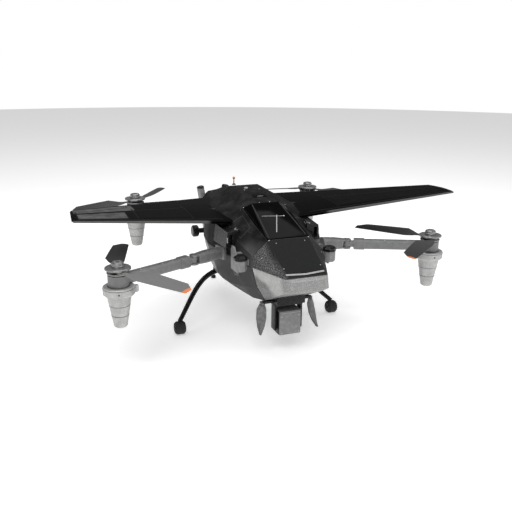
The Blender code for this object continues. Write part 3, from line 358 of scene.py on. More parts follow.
def dark_shell():
    """Dark grey moulding, mottled with pale specks."""
    look = Look("dark_shell_mottled", (0.0085, 0.0088, 0.0088), 0.58)
    clouds = look.noise(0.020, 5.0)
    look.over(look.fit(clouds, 0.42, 0.72), (0.026, 0.0265, 0.026))
    low_side = look.fit(look.axis("Z"), 0.2120, 0.1850)
    ahead = look.fit(look.axis("Y"), -0.105, -0.135)
    look.over(look.sum("MULTIPLY", look.sum("MULTIPLY", low_side, ahead), 0.85), (0.110, 0.111, 0.109))
    specks = look.fit(look.noise(0.0016, 3.0), 0.60, 0.70)
    patches = look.fit(look.noise(0.030, 3.0), 0.42, 0.62)
    look.over(look.sum("MULTIPLY", look.sum("MULTIPLY", specks, patches), 0.55), (0.20, 0.20, 0.20), 0.60)
    look.over(look.sum("MULTIPLY", look.edges(0.0008), 0.35), (0.13, 0.13, 0.13), 0.40)
    look.raised(look.noise(0.0006, 2.0), 0.03)
    look.constant("Specular IOR Level", 0.05)
    return look.done()


def bonnet_grey():
    """Dark bonnet whose side facets fade into grey sparkle towards the silver, painted much lighter on the
    starboard facet, which faces the light, than on the port one: painted light.
    """
    look = Look("bonnet_speckled", (0.0165, 0.017, 0.017), 0.60)
    side = look.sum("MULTIPLY", look.axis("X"), -1.0)
    ahead = look.fit(look.axis("Y"), -0.1950, -0.2450)
    # Starboard side facet, which faces the light: its grey sparkle is painted much lighter than on the port
    # facet, painted light.
    facet = look.fit(look.sum("ADD", side, look.sum("MULTIPLY", ahead, 0.010)), 0.040, 0.050)
    grain = look.fit(look.noise(0.0012, 3.0), 0.44, 0.66)
    look.over(look.sum("MULTIPLY", facet, grain), (0.26, 0.26, 0.255), 0.45)
    dust = look.fit(look.noise(0.0015, 3.0), 0.62, 0.74)
    look.over(look.sum("MULTIPLY", dust, 0.25), (0.12, 0.12, 0.12))
    # Port side facet: the same sparkle as darker flecks, the painted shaded side.
    far_side = look.fit(look.axis("X"), 0.036, 0.040)
    flecks = look.fit(look.noise(0.0012, 3.0), 0.50, 0.66)
    look.over(look.sum("MULTIPLY", far_side, flecks), (0.10, 0.10, 0.10))
    look.over(look.sum("MULTIPLY", look.edges(0.0008), 0.35), (0.20, 0.20, 0.20), 0.40)
    look.raised(look.noise(0.0007, 2.0), 0.02)
    look.constant("Specular IOR Level", 0.06)
    return look.done()


def side_grey():
    """Mid grey matt moulding of the lower sides."""
    look = Look("side_moulding", (0.036, 0.037, 0.036), 0.60)
    look.over(look.fit(look.noise(0.018, 4.0), 0.40, 0.70), (0.055, 0.056, 0.054))
    look.constant("Specular IOR Level", 0.15)
    look.over(look.sum("MULTIPLY", look.fit(look.noise(0.0011, 2.0), 0.60, 0.72), 0.4), (0.16, 0.16, 0.155))
    look.over(look.sum("MULTIPLY", look.edges(0.0008), 0.35), (0.25, 0.25, 0.25), 0.40)
    look.raised(look.noise(0.0006, 2.0), 0.02)
    return look.done()


def tail_grey():
    look = Look("tail_moulding", (0.22, 0.222, 0.218), 0.50)
    look.over(look.fit(look.noise(0.015, 4.0), 0.40, 0.70), (0.28, 0.282, 0.278))
    look.over(look.sum("MULTIPLY", look.fit(look.noise(0.0010, 2.0), 0.60, 0.72), 0.4), (0.12, 0.12, 0.12))
    look.over(look.sum("MULTIPLY", look.edges(0.0008), 0.4), (0.45, 0.45, 0.45), 0.40)
    look.raised(look.noise(0.0006, 2.0), 0.02)
    return look.done()


def black_glass():
    """Smoked canopy: deep black with a thin clear coat and faint wipe marks."""
    look = Look("smoked_glass", (0.0012, 0.0012, 0.0014), 0.07)
    marks = look.noise(0.004, 5.0, (1.0, 0.25, 1.0))
    look.over(look.fit(marks, 0.60, 0.80), (0.004, 0.004, 0.0045), 0.18)
    look.constant("Specular IOR Level", 0.035)
    return look.done()


def wing_black():
    """Black lacquer with a darker border, a matt main panel, a grey front lip, and pale patches near the
    starboard tip that are a painted reflection of a light.
    """
    look = Look("wing_lacquer", (0.0014, 0.0014, 0.0015), 0.42)
    reach = look.sum("ABSOLUTE", look.axis("X"))
    along = look.fit(reach, WING_FRONT_ROOT.x, WING_FRONT_TIP.x)
    front = look.fit(along, 0.0, 1.0, WING_FRONT_ROOT.y, WING_FRONT_TIP.y)
    root_chord = WING_REAR_ROOT.y - WING_FRONT_ROOT.y
    tip_chord = WING_REAR_TIP.y - WING_FRONT_TIP.y
    depth = look.fit(along, 0.0, 1.0, root_chord, tip_chord)
    chord = look.sum("DIVIDE", look.sum("SUBTRACT", look.axis("Y"), front), depth)
    main = look.sum("MULTIPLY", look.band(chord, 0.14, 0.88, 0.004), look.band(reach, 0.150, 0.345))
    grain = look.fit(look.noise(0.018, 4.0), 0.35, 0.75, 0.45, 1.0)
    look.over(look.sum("MULTIPLY", main, grain), (0.0090, 0.0090, 0.0092), 0.60)
    # Pale patches near the starboard tip only: a painted reflection of a light on the lacquer.
    starboard = look.fit(look.axis("X"), -0.001, -0.002)
    reflection_front_patch = look.sum("MULTIPLY", look.band(chord, 0.13, 0.46, 0.004), look.band(reach, 0.268, 0.352))
    reflection_rear_patch = look.sum("MULTIPLY", look.band(chord, 0.56, 0.93, 0.004), look.band(reach, 0.246, 0.356))
    pale = look.sum("MULTIPLY", look.sum("MAXIMUM", reflection_front_patch, reflection_rear_patch), starboard)
    look.over(look.sum("MULTIPLY", pale, grain), (0.145, 0.146, 0.143), 0.55)
    lip = look.sum("MULTIPLY", look.fit(chord, 0.016, 0.008), look.fit(reach, 0.115, 0.125))
    look.over(look.sum("MULTIPLY", lip, 0.9), (0.115, 0.115, 0.113), 0.50)
    scratches = look.fit(look.noise(0.0016, 3.0, (0.06, 1.0, 1.0)), 0.62, 0.72)
    look.over(look.sum("MULTIPLY", scratches, 0.30), (0.035, 0.035, 0.035), 0.35)
    look.over(look.sum("MULTIPLY", look.edges(0.0007), 0.20), (0.08, 0.08, 0.08), 0.35)
    look.raised(look.noise(0.0016, 2.0), 0.008)
    look.constant("Specular IOR Level", 0.02)
    return look.done()


def arm_grey():
    look = Look("arm_anodised", (0.155, 0.158, 0.155), 0.42, 0.15)
    look.over(look.fit(look.noise(0.010, 4.0), 0.40, 0.70), (0.20, 0.203, 0.20), 0.50)
    look.over(look.sum("MULTIPLY", look.fit(look.noise(0.0012, 3.0), 0.58, 0.70), 0.35), (0.09, 0.09, 0.09))
    look.over(look.sum("MULTIPLY", look.edges(0.0006), 0.6), (0.42, 0.42, 0.42), 0.30)
    look.raised(look.noise(0.0008, 2.0), 0.012)
    return look.done()


def blade_grey(name, root_colour, tip_colour, centre, tipped, tip_direction):
    """Moulded blade: fine grain along its length, darker to the tip, orange tip corner if tipped."""
    look = Look(name, root_colour, 0.42)
    across = look.sum("SUBTRACT", look.axis("X"), centre[0])
    along = look.sum("SUBTRACT", look.axis("Y"), centre[1])
    reach = look.sum(
        "ADD",
        look.sum("MULTIPLY", across, tip_direction[0]),
        look.sum("MULTIPLY", along, tip_direction[1]),
    )
    look.over(look.fit(reach, 0.02, 0.13), tip_colour)
    grain = look.fit(look.noise(0.0014, 4.0), 0.50, 0.72)
    look.over(look.sum("MULTIPLY", grain, 0.5), (0.11, 0.11, 0.11), 0.5)
    look.over(look.sum("MULTIPLY", look.edges(0.0005), 0.35), (0.24, 0.24, 0.24), 0.35)
    if tipped:
        look.over(look.fit(reach, 0.1490, 0.1498), (0.72, 0.22, 0.08), 0.5)
    look.raised(look.noise(0.0010, 2.0), 0.010)
    look.constant("Specular IOR Level", 0.35)
    return look.done()


def gloss_black():
    look = Look("gloss_black_moulding", (0.006, 0.006, 0.0065), 0.24)
    look.over(look.fit(look.noise(0.006, 4.0), 0.50, 0.75), (0.016, 0.016, 0.017), 0.38)
    scuffs = look.fit(look.noise(0.0022, 3.0), 0.62, 0.70)
    look.over(look.sum("MULTIPLY", scuffs, 0.35), (0.13, 0.13, 0.13), 0.40)
    look.over(look.sum("MULTIPLY", look.edges(0.0006), 0.35), (0.16, 0.16, 0.16), 0.25)
    look.raised(look.noise(0.0012, 2.0), 0.010)
    look.constant("Specular IOR Level", 0.22)
    return look.done()


def rubber():
    look = Look("rubber_matt", (0.012, 0.012, 0.012), 0.72)
    look.over(look.fit(look.noise(0.004, 4.0), 0.45, 0.75), (0.028, 0.028, 0.028), 0.85)
    look.over(look.sum("MULTIPLY", look.edges(0.0008), 0.5), (0.12, 0.12, 0.12))
    look.raised(look.noise(0.0007, 3.0), 0.05)
    return look.done()


def motor_metal():
    look = Look("motor_alloy", (0.20, 0.20, 0.198), 0.34, 0.65)
    turning = look.noise(0.0006, 3.0, (0.15, 0.15, 1.0))
    look.over(look.fit(turning, 0.35, 0.65), (0.30, 0.30, 0.297), 0.28)
    look.over(look.sum("MULTIPLY", look.edges(0.0005), 0.6), (0.60, 0.60, 0.60), 0.25)
    look.raised(turning, 0.01)
    return look.done()


def camera_grey():
    """Pale grey speckled moulding."""
    look = Look("camera_moulding", (0.24, 0.242, 0.24), 0.48, 0.10)
    look.over(look.fit(look.noise(0.008, 4.0), 0.40, 0.70), (0.30, 0.302, 0.30))
    look.over(look.sum("MULTIPLY", look.fit(look.noise(0.0009, 2.0), 0.58, 0.70), 0.5), (0.13, 0.13, 0.13))
    look.over(look.sum("MULTIPLY", look.edges(0.0006), 0.6), (0.62, 0.62, 0.61), 0.32)
    look.raised(look.noise(0.0007, 2.0), 0.02)
    return look.done()


def orange():
    look = Look("signal_orange", (0.72, 0.25, 0.09), 0.42)
    look.over(look.fit(look.noise(0.002, 3.0), 0.45, 0.75), (0.82, 0.42, 0.24), 0.55)
    low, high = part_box("antenna")
    stem = look.fit(look.axis("Z"), high.z - 0.0050, high.z - 0.0056)
    look.over(stem, (0.012, 0.012, 0.012), 0.40)
    look.raised(look.noise(0.0006, 2.0), 0.02)
    return look.done()


def pod_grey():
    """Pale side pod with a black cap over its barrel."""
    look = Look("side_pod_shell", (0.20, 0.202, 0.20), 0.48, 0.10)
    look.over(look.fit(look.noise(0.006, 4.0), 0.40, 0.70), (0.27, 0.272, 0.27))
    low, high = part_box("side_pod_left")
    ahead = look.fit(look.axis("Y"), low.y + 0.0246, low.y + 0.0240)
    top = look.fit(look.axis("Z"), low.z + 0.0264, low.z + 0.0270)
    look.over(look.sum("MULTIPLY", ahead, top), (0.004, 0.004, 0.0045), 0.30)
    look.over(look.sum("MULTIPLY", look.edges(0.0006), 0.4), (0.42, 0.42, 0.41), 0.35)
    look.raised(look.noise(0.0007, 2.0), 0.02)
    look.constant("Specular IOR Level", 0.25)
    return look.done()


def tube_grey():
    """Pale tail tube with a dark mouth."""
    look = Look("tail_tube_shell", (0.30, 0.302, 0.30), 0.42, 0.10)
    look.over(look.fit(look.noise(0.004, 4.0), 0.40, 0.70), (0.16, 0.162, 0.16))
    low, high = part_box("tail_tube_left")
    look.over(look.fit(look.axis("Z"), high.z - 0.0062, high.z - 0.0054), (0.006, 0.006, 0.006), 0.35)
    look.raised(look.noise(0.0007, 2.0), 0.02)
    return look.done()


def guard_grey():
    """Grey leaf guard with a black rim."""
    look = Look("guard_shell", (0.13, 0.131, 0.13), 0.50)
    look.over(look.fit(look.noise(0.006, 4.0), 0.40, 0.70), (0.20, 0.201, 0.20))
    look.over(look.edges(0.0016), (0.006, 0.006, 0.006), 0.35)
    look.raised(look.noise(0.0008, 2.0), 0.02)
    look.constant("Specular IOR Level", 0.20)
    return look.done()


def rear_arm_black():
    look = Look("rear_arm_black", (0.010, 0.010, 0.010), 0.45)
    look.over(look.fit(look.noise(0.010, 4.0), 0.45, 0.75), (0.022, 0.022, 0.022), 0.55)
    look.over(look.sum("MULTIPLY", look.edges(0.0006), 0.35), (0.12, 0.12, 0.12), 0.35)
    look.raised(look.noise(0.0008, 2.0), 0.012)
    look.constant("Specular IOR Level", 0.15)
    return look.done()


def camera_body_grey():
    """Pale camera front and black flanks; the dark groove and the bright top edge, a painted highlight, are
    separate pieces.
    """
    look = Look("camera_shell", (0.19, 0.192, 0.19), 0.48, 0.10)
    look.over(look.fit(look.noise(0.006, 4.0), 0.40, 0.70), (0.25, 0.252, 0.25))
    look.over(look.sum("MULTIPLY", look.fit(look.noise(0.0009, 2.0), 0.58, 0.70), 0.4), (0.12, 0.12, 0.12))
    low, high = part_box("camera")
    side = look.sum("ABSOLUTE", look.axis("X"))
    look.over(look.fit(side, 0.0208, 0.0211), (0.006, 0.006, 0.006), 0.35)
    look.over(look.sum("MULTIPLY", look.edges(0.0006), 0.5), (0.50, 0.50, 0.49), 0.35)
    look.raised(look.noise(0.0007, 2.0), 0.02)
    look.constant("Specular IOR Level", 0.30)
    return look.done()


def fastener_steel():
    look = Look("fastener_steel", (0.62, 0.62, 0.61), 0.28, 0.55)
    look.over(look.fit(look.noise(0.0006, 3.0), 0.50, 0.70), (0.40, 0.40, 0.39), 0.40)
    look.raised(look.noise(0.0003, 2.0), 0.006)
    return look.done()


def trim_black():
    look = Look("trim_black", (0.0018, 0.0018, 0.0019), 0.34)
    look.over(look.fit(look.noise(0.004, 4.0), 0.50, 0.75), (0.006, 0.006, 0.006), 0.50)
    look.raised(look.noise(0.0009, 2.0), 0.01)
    look.constant("Specular IOR Level", 0.05)
    return look.done()


def trim_pale():
    look = Look("trim_pale", (0.42, 0.42, 0.415), 0.40)
    look.over(look.fit(look.noise(0.0015, 3.0), 0.45, 0.70), (0.27, 0.27, 0.265), 0.50)
    look.raised(look.noise(0.0006, 2.0), 0.012)
    return look.done()


def trim_dark():
    look = Look("trim_dark", (0.022, 0.022, 0.022), 0.50)
    look.over(look.fit(look.noise(0.0015, 3.0), 0.45, 0.70), (0.045, 0.045, 0.044), 0.60)
    look.raised(look.noise(0.0006, 2.0), 0.015)
    look.constant("Specular IOR Level", 0.12)
    return look.done()


def battery_wrap():
    look = Look("battery_film", (0.030, 0.045, 0.080), 0.30)
    look.over(look.fit(look.noise(0.005, 5.0), 0.45, 0.70), (0.045, 0.065, 0.11), 0.20)
    look.raised(look.noise(0.004, 4.0), 0.15)
    return look.done()


def circuit_board():
    look = Look("solder_mask", (0.010, 0.060, 0.028), 0.35)
    tracks = look.fit(look.flakes(0.0016), 0.62, 0.64)
    look.over(look.sum("MULTIPLY", tracks, 0.6), (0.020, 0.11, 0.05), 0.45)
    pads = look.fit(look.flakes(0.0011), 0.93, 0.94)
    look.over(pads, (0.55, 0.50, 0.30), 0.30)
    look.raised(tracks, 0.05)
    return look.done()


LOOKS = {
    "silver_paint": silver_paint(),
    "dark_shell": dark_shell(),
    "bonnet_grey": bonnet_grey(),
    "side_grey": side_grey(),
    "tail_grey": tail_grey(),
    "black_glass": black_glass(),
    "wing_black": wing_black(),
    "arm_grey": arm_grey(),
    "gloss_black": gloss_black(),
    "rubber": rubber(),
    "motor_metal": motor_metal(),
    "camera_grey": camera_grey(),
    "orange": orange(),
    "battery_wrap": battery_wrap(),
    "circuit_board": circuit_board(),
}

# Nodes whose finish differs from the rest of their slot.
OWN_LOOKS = {
    "side_pod": pod_grey(),
    "tail_tube": tube_grey(),
    "camera_guard": guard_grey(),
    "rear_left_arm": rear_arm_black(),
    "rear_right_arm": rear_arm_black(),
    "camera": camera_body_grey(),
}

STEEL = fastener_steel()
BLACK = trim_black()
PALE = trim_pale()
DARK = trim_dark()


# ---------------------------------------------------------------- CAD nodes dressed

def edge_softener(degrees):
    """Node group that welds a node's facets and shades it smooth except across sharp edges."""
    group = bpy.data.node_groups.new(f"soft_edges_{degrees:.0f}", "GeometryNodeTree")
    group.interface.new_socket("Geometry", in_out="INPUT", socket_type="NodeSocketGeometry")
    group.interface.new_socket("Geometry", in_out="OUTPUT", socket_type="NodeSocketGeometry")
    enter = group.nodes.new("NodeGroupInput")
    leave = group.nodes.new("NodeGroupOutput")
    weld = group.nodes.new("GeometryNodeMergeByDistance")
    weld.inputs["Distance"].default_value = 0.000005
    angle = group.nodes.new("GeometryNodeInputMeshEdgeAngle")
    low = group.nodes.new("FunctionNodeCompare")
    low.operation = "LESS_THAN"
    low.inputs["B"].default_value = math.radians(degrees)
    faces = group.nodes.new("GeometryNodeSetShadeSmooth")
    faces.domain = "FACE"
    edges = group.nodes.new("GeometryNodeSetShadeSmooth")
    edges.domain = "EDGE"
    group.links.new(enter.outputs[0], weld.inputs["Geometry"])
    group.links.new(weld.outputs[0], faces.inputs["Geometry"])
    group.links.new(faces.outputs[0], edges.inputs["Geometry"])
    group.links.new(angle.outputs["Unsigned Angle"], low.inputs["A"])
    group.links.new(low.outputs["Result"], edges.inputs["Shade Smooth"])
    group.links.new(edges.outputs[0], leave.inputs[0])
    return group


def soften(item, group, bevel):
    step = item.modifiers.new("soft_edges", "NODES")
    step.node_group = group
    if bevel:
        round_off = item.modifiers.new("edge_radius", "BEVEL")
        round_off.width = bevel
        round_off.segments = 2
        round_off.limit_method = "ANGLE"
        round_off.angle_limit = math.radians(30.0)
        round_off.use_clamp_overlap = True
        round_off.harden_normals = False


BEVELS = {
    "nose_fairing": 0.0007,
    "bonnet": 0.0005,
    "camera": 0.0006,
    "front_left_arm": 0.0006,
    "front_right_arm": 0.0006,
    "front_left_arm_root": 0.0006,
    "front_right_arm_root": 0.0006,
}


def dress_nodes():
    fine = edge_softener(24.0)
    broad = edge_softener(38.0)
    for name, item in NODES.items():
        own = OWN_LOOKS.get(name) or OWN_LOOKS.get(name.removesuffix("_left").removesuffix("_right"))
        for slot in item.material_slots:
            slot.material = own or LOOKS.get(slot.material.name, LOOKS["gloss_black"])
        group = broad if name == "upper_shell" else fine
        soften(item, group, BEVELS.get(name, 0.0003))


def dress_blades():
    """Every blade gets its own look, since each lies in its own direction from its rotor."""
    pale = {"front_right_blade_a"}
    tipped = {"front_right_blade_a", "front_left_blade_b"}
    for rotor in ROTORS:
        low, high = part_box(rotor + "_hub")
        centre = (low + high) / 2
        for letter in "ab":
            name = f"{rotor}_blade_{letter}"
            points = [v.co - centre for v in NODES[name].data.vertices]
            far = max(points, key=lambda p: p.xy.length)
            aim = Vector((far.x, far.y)).normalized()
            root = (0.20, 0.20, 0.197) if name in pale else (0.055, 0.055, 0.054)
            tip = (0.17, 0.17, 0.168) if name in pale else (0.022, 0.022, 0.022)
            made = blade_grey(name + "_look", root, tip, centre, name in tipped, aim)
            for slot in NODES[name].material_slots:
                slot.material = made


# ---------------------------------------------------------------- detail pieces

class Surface:
    """The outer faces of some CAD nodes, to lay detail on."""

    def __init__(self, *names):
        points = []
        faces = []
        for name in names:
            item = NODES[name]
            start = len(points)
            points.extend(item.matrix_world @ vertex.co for vertex in item.data.vertices)
            faces.extend([start + index for index in face.vertices] for face in item.data.polygons)
        self.tree = BVHTree.FromPolygons(points, faces)

    def cast(self, place, aim, back=0.06):
        """Where a ray through place along aim first meets the surface, and the outward normal there."""
        aim = Vector(aim).normalized()
        point, normal, _, _ = self.tree.ray_cast(Vector(place) - aim * back, aim)
        if point is None:
            return Vector(place), -aim
        return point, (normal if normal.dot(aim) < 0 else -normal)

    def path(self, corners, aim, step=0.004):
        """Points and normals along a line of corners laid on the surface."""
        found = []
        for first, second in zip(corners, corners[1:]):
            first, second = Vector(first), Vector(second)
            count = max(1, int((second - first).length / step))
            for number in range(count + (second == Vector(corners[-1]))):
                found.append(self.cast(first.lerp(second, number / count), aim))
        return found


class Piece:
    """One detail mesh, built up from small parts and fixed to one body."""

    def __init__(self, name, look):
        self.name = name
        self.look = look
        self.bm = bmesh.new()

    def rings(self, rings, closed=False, capped=True):
        """Joins rings of points into a skin; closed joins the last ring to the first."""
        made = [[self.bm.verts.new(point) for point in ring] for ring in rings]
        pairs = list(zip(made, made[1:]))
        if closed:
            pairs.append((made[-1], made[0]))
        for first, second in pairs:
            count = len(first)
            for index in range(count):
                following = (index + 1) % count
                self.bm.faces.new((first[index], first[following], second[following], second[index]))
        if capped and not closed:
            self.bm.faces.new(list(reversed(made[0])))
            self.bm.faces.new(made[-1])

    def strip(self, path, width, height, sink=0.0006):
        """A flat raised band with chamfered sides along a path of points and normals."""
        rings = []
        for index, (point, normal) in enumerate(path):
            before = path[max(index - 1, 0)][0]
            after = path[min(index + 1, len(path) - 1)][0]
            across = (after - before).cross(normal).normalized() * (width / 2)
            rings.append([
                point + across - normal * sink,
                point + across + normal * height * 0.5,
                point + across * 0.75 + normal * height,
                point - across * 0.75 + normal * height,
                point - across + normal * height * 0.5,
                point - across - normal * sink,
            ])
        self.rings(rings)

    def round(self, place, axis, profile, segments=16):
        """A turned part: profile holds radius and height pairs along axis from place."""
        turn = Vector(axis).to_track_quat("Z", "Y").to_matrix()
        rings = []
        for radius, height in profile:
            ring = []
            for index in range(segments):
                angle = 2 * math.pi * index / segments
                corner = Vector((radius * math.cos(angle), radius * math.sin(angle), height))
                ring.append(Vector(place) + turn @ corner)
            rings.append(ring)
        self.rings(rings)

    def screw(self, place, axis, radius=0.0012):
        """A domed socket screw head."""
        high = radius * 0.55
        self.round(place, axis, (
            (radius, -0.0005), (radius, high * 0.4), (radius * 0.86, high * 0.8),
            (radius * 0.55, high), (radius * 0.48, high), (radius * 0.42, high * 0.35),
        ), 12)

    def hoop(self, place, axis, radius, thick=0.0005, segments=48):
        """A thin ring with a chamfered section about axis."""
        turn = Vector(axis).to_track_quat("Z", "Y").to_matrix()
        rings = []
        for index in range(segments):
            angle = 2 * math.pi * index / segments
            out = turn @ Vector((math.cos(angle), math.sin(angle), 0.0))
            up = turn @ Vector((0.0, 0.0, 1.0))
            ring = []
            for corner in range(8):
                lean = 2 * math.pi * (corner + 0.5) / 8
                reach = radius + thick * math.cos(lean)
                ring.append(Vector(place) + out * reach + up * thick * math.sin(lean))
            rings.append(ring)
        self.rings(rings, closed=True)

    def slab(self, centre, size, normal=(0.0, 0.0, 1.0), chamfer=0.0004):
        """A plate with chamfered top edges, its top facing along normal."""
        turn = Vector(normal).to_track_quat("Z", "Y").to_matrix()
        half_x, half_y, thick = size[0] / 2, size[1] / 2, size[2]
        rings = []
        for inset, height in ((0.0, -0.0006), (0.0, thick - chamfer), (chamfer, thick)):
            ring = []
            for x, y in ((1, 1), (-1, 1), (-1, -1), (1, -1)):
                corner = Vector((x * (half_x - inset), y * (half_y - inset), height))
                ring.append(Vector(centre) + turn @ corner)
            rings.append(ring)
        self.rings(rings)

    def fix(self, body):
        bmesh.ops.recalc_face_normals(self.bm, faces=self.bm.faces)
        mesh = bpy.data.meshes.new(self.name)
        self.bm.to_mesh(mesh)
        self.bm.free()
        mesh.materials.append(self.look)
        mesh.shade_smooth()
        mesh.set_sharp_from_angle(angle=math.radians(32.0))
        item = bpy.data.objects.new(self.name, mesh)
        bpy.context.scene.collection.objects.link(item)
        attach(item, body)
        return item


def inside(node, across, along, up=1.0):
    """A point given as fractions of a node's box."""
    low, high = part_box(node)
    return Vector((
        low.x + across * (high.x - low.x),
        low.y + along * (high.y - low.y),
        low.z + up * (high.z - low.z),
    ))


DOWN = Vector((0.0, 0.0, -1.0))
UP = Vector((0.0, 0.0, 1.0))


def canopy_details():
    """Seals round the glass, its two pillars, the pale T frame and the corner studs."""
    roof = Surface("canopy", "upper_shell", "bonnet")
    seals = Piece("canopy_seals", BLACK)
    pillars = Piece("canopy_pillars", DARK)
    studs = Piece("canopy_studs", STEEL)
    for side in (1.0, -1.0):
        def mirrored(across):
            return 0.5 + side * (across - 0.5)
        outer = [inside("canopy", mirrored(0.945), 0.02), inside("canopy", mirrored(0.985), 0.97)]
        seals.strip(roof.path(outer, DOWN), 0.0018, SEAL_HEIGHT)
        pillar = [inside("canopy", mirrored(0.905), 0.03), inside("canopy", mirrored(0.815), 0.93)]
        pillars.strip(roof.path(pillar, DOWN), 0.0026, SEAL_HEIGHT)
        for across, along in ((0.93, -0.03), (0.985, 0.985), (0.62, 0.985)):
            studs.screw(*roof.cast(inside("canopy", mirrored(across), along), DOWN), 0.0011)
    front = [inside("canopy", 0.06, 0.005), inside("canopy", 0.94, 0.005)]
    seals.strip(roof.path(front, DOWN), 0.0022, 0.0006)
    rear = [inside("canopy", 0.18, 0.955), inside("canopy", 0.82, 0.955)]
    seals.strip(roof.path(rear, DOWN), 0.0022, SEAL_HEIGHT)
    frame_bars = Piece("canopy_t_frame", PALE)
    crossbar = [inside("canopy", 0.23, 0.59), inside("canopy", 0.71, 0.55)]
    frame_bars.strip(roof.path(crossbar, DOWN), 0.0012, TRIM_HEIGHT)
    post = [inside("canopy", 0.57, 0.59), inside("canopy", 0.33, 0.15)]
    frame_bars.strip(roof.path(post, DOWN), 0.0018, TRIM_HEIGHT)
    studs.screw(*roof.cast(inside("canopy", 0.71, 0.55), DOWN), 0.0017)
    seals.fix("airframe")
    pillars.fix("airframe")
    frame_bars.fix("airframe")
    studs.fix("airframe")


def roof_details():
    """The flat black roof vent, a pale strip behind it and a pale knob on the roof bump, both painted
    highlights, and small fasteners down the spine.
    """
    roof = Surface("upper_shell")
    vent = Piece("roof_vent", BLACK)
    place, normal = roof.cast(inside("upper_shell", 0.505, 0.315), DOWN)
    vent.slab(place, (0.0270, 0.0110, 0.0012), normal)
    vent.fix("airframe")
    # Pale strip behind the vent and pale knob on the bump: painted highlights.
    lip = Piece("roof_vent_highlights", PALE)
    rearward = normal.cross(Vector((1.0, 0.0, 0.0))).normalized()
    lip.slab(place - rearward * 0.0040, (0.0110, 0.0010, 0.0018), normal, 0.0002)
    knob, up = roof.cast(inside("upper_shell", 0.46, 0.43), DOWN)
    lip.round(knob, up, ((0.0042, -0.0006), (0.0042, 0.0012), (0.0034, 0.0022), (0.0012, 0.0026)), 20)
    lip.fix("airframe")
    spine = Piece("roof_fasteners", STEEL)
    for along in (0.40, 0.52, 0.64, 0.76, 0.88):
        for across in (0.42, 0.58):
            spine.screw(*roof.cast(inside("upper_shell", across, along), DOWN), 0.0010)
    spine.fix("airframe")


def bonnet_details():
    """Corner screws of the bonnet, and a pale strip between it and the nose that is a painted highlight
    along the nose's top edge.
    """
    cover = Surface("bonnet", "nose_fairing")
    screws = Piece("bonnet_fasteners", STEEL)
    corners = ((0.30, 0.90), (0.70, 0.90), (0.08, 0.80), (0.92, 0.80), (0.25, 0.24), (0.75, 0.24))
    for across, along in corners:
        screws.screw(*cover.cast(inside("bonnet", across, along), DOWN), 0.0009)
    screws.fix("airframe")
    # Pale strip along the nose's top edge: a painted highlight.
    trim = Piece("nose_highlight_strip", PALE)
    line = [inside("bonnet", 0.24, 0.085), inside("bonnet", 0.50, 0.055), inside("bonnet", 0.76, 0.085)]
    trim.strip(cover.path(line, DOWN), 0.0034, 0.0004)
    trim.fix("airframe")


def intake_details():
    """Pale strips at each scoop that stand for glints, painted highlights: one up the outer front edge and
    one like a wire over the top, with a screw.
    """
    glint_strips = Piece("intake_glint_strips", PALE)
    for name, side in SIDES:
        scoop = Surface("intake_" + name, "upper_shell")
        def mirrored(across):
            return across if side > 0 else 1.0 - across
        node = "intake_" + name
        ahead = Vector((0.0, 1.0, 0.0))
        # Pale strips up the scoop's outer front edge and over its top stand for glints: painted highlights.
        edge = [inside(node, mirrored(0.79), 0.0, 0.30), inside(node, mirrored(0.79), 0.0, 0.58)]
        glint_strips.strip(scoop.path(edge, ahead, 0.002), 0.0018, 0.0006)
        wire = [
            inside(node, mirrored(0.18), 0.02, 1.10),
            inside(node, mirrored(0.30), 0.10, 1.0),
            inside(node, mirrored(0.10), 0.22, 1.0),
        ]
        glint_strips.strip(scoop.path(wire, DOWN, 0.002), 0.0010, 0.0007)
        glint_strips.screw(*scoop.cast(inside(node, mirrored(0.12), 0.30), DOWN), 0.0012)
    glint_strips.fix("airframe")


def wing_point(side, along, chord):
    front = WING_FRONT_ROOT.lerp(WING_FRONT_TIP, along)
    rear = WING_REAR_ROOT.lerp(WING_REAR_TIP, along)
    point = front.lerp(rear, chord)
    return Vector((point.x * side, point.y, WING_HIGH.z))


def wing_details():
    """Edge strips and rib lines on top of each wing, and fasteners on both its faces."""
    for name, side in SIDES:
        skin = Surface("wing_" + name)
        trim = Piece(f"wing_{name}_trim", BLACK)
        nose = [wing_point(side, 0.12, 0.045), wing_point(side, 0.97, 0.060)]
        trim.strip(skin.path(nose, DOWN, 0.008), 0.0060, TRIM_HEIGHT)
        tail = [wing_point(side, 0.10, 0.955), wing_point(side, 0.64, 0.945)]
        trim.strip(skin.path(tail, DOWN, 0.008), 0.0050, TRIM_HEIGHT)
        for along in (0.31, 0.64, 0.965):
            rib = [wing_point(side, along, 0.07), wing_point(side, along, 0.66)]
            trim.strip(skin.path(rib, DOWN, 0.006), 0.0022, TRIM_HEIGHT)
        spar = [wing_point(side, 0.31, 0.52), wing_point(side, 0.965, 0.50)]
        trim.strip(skin.path(spar, DOWN, 0.008), 0.0040, TRIM_HEIGHT)
        trim.fix("airframe")
        studs = Piece(f"wing_{name}_fasteners", DARK)
        places = (
            (0.16, 0.10), (0.30, 0.10), (0.45, 0.10), (0.62, 0.10), (0.80, 0.11),
            (0.975, 0.20), (0.16, 0.60), (0.30, 0.62), (0.45, 0.62), (0.62, 0.62),
        )
        for along, chord in places:
            studs.screw(*skin.cast(wing_point(side, along, chord), DOWN), 0.0008)
            studs.screw(*skin.cast(wing_point(side, along, chord) - UP * 0.05, UP), 0.0008)
        studs.fix("airframe")


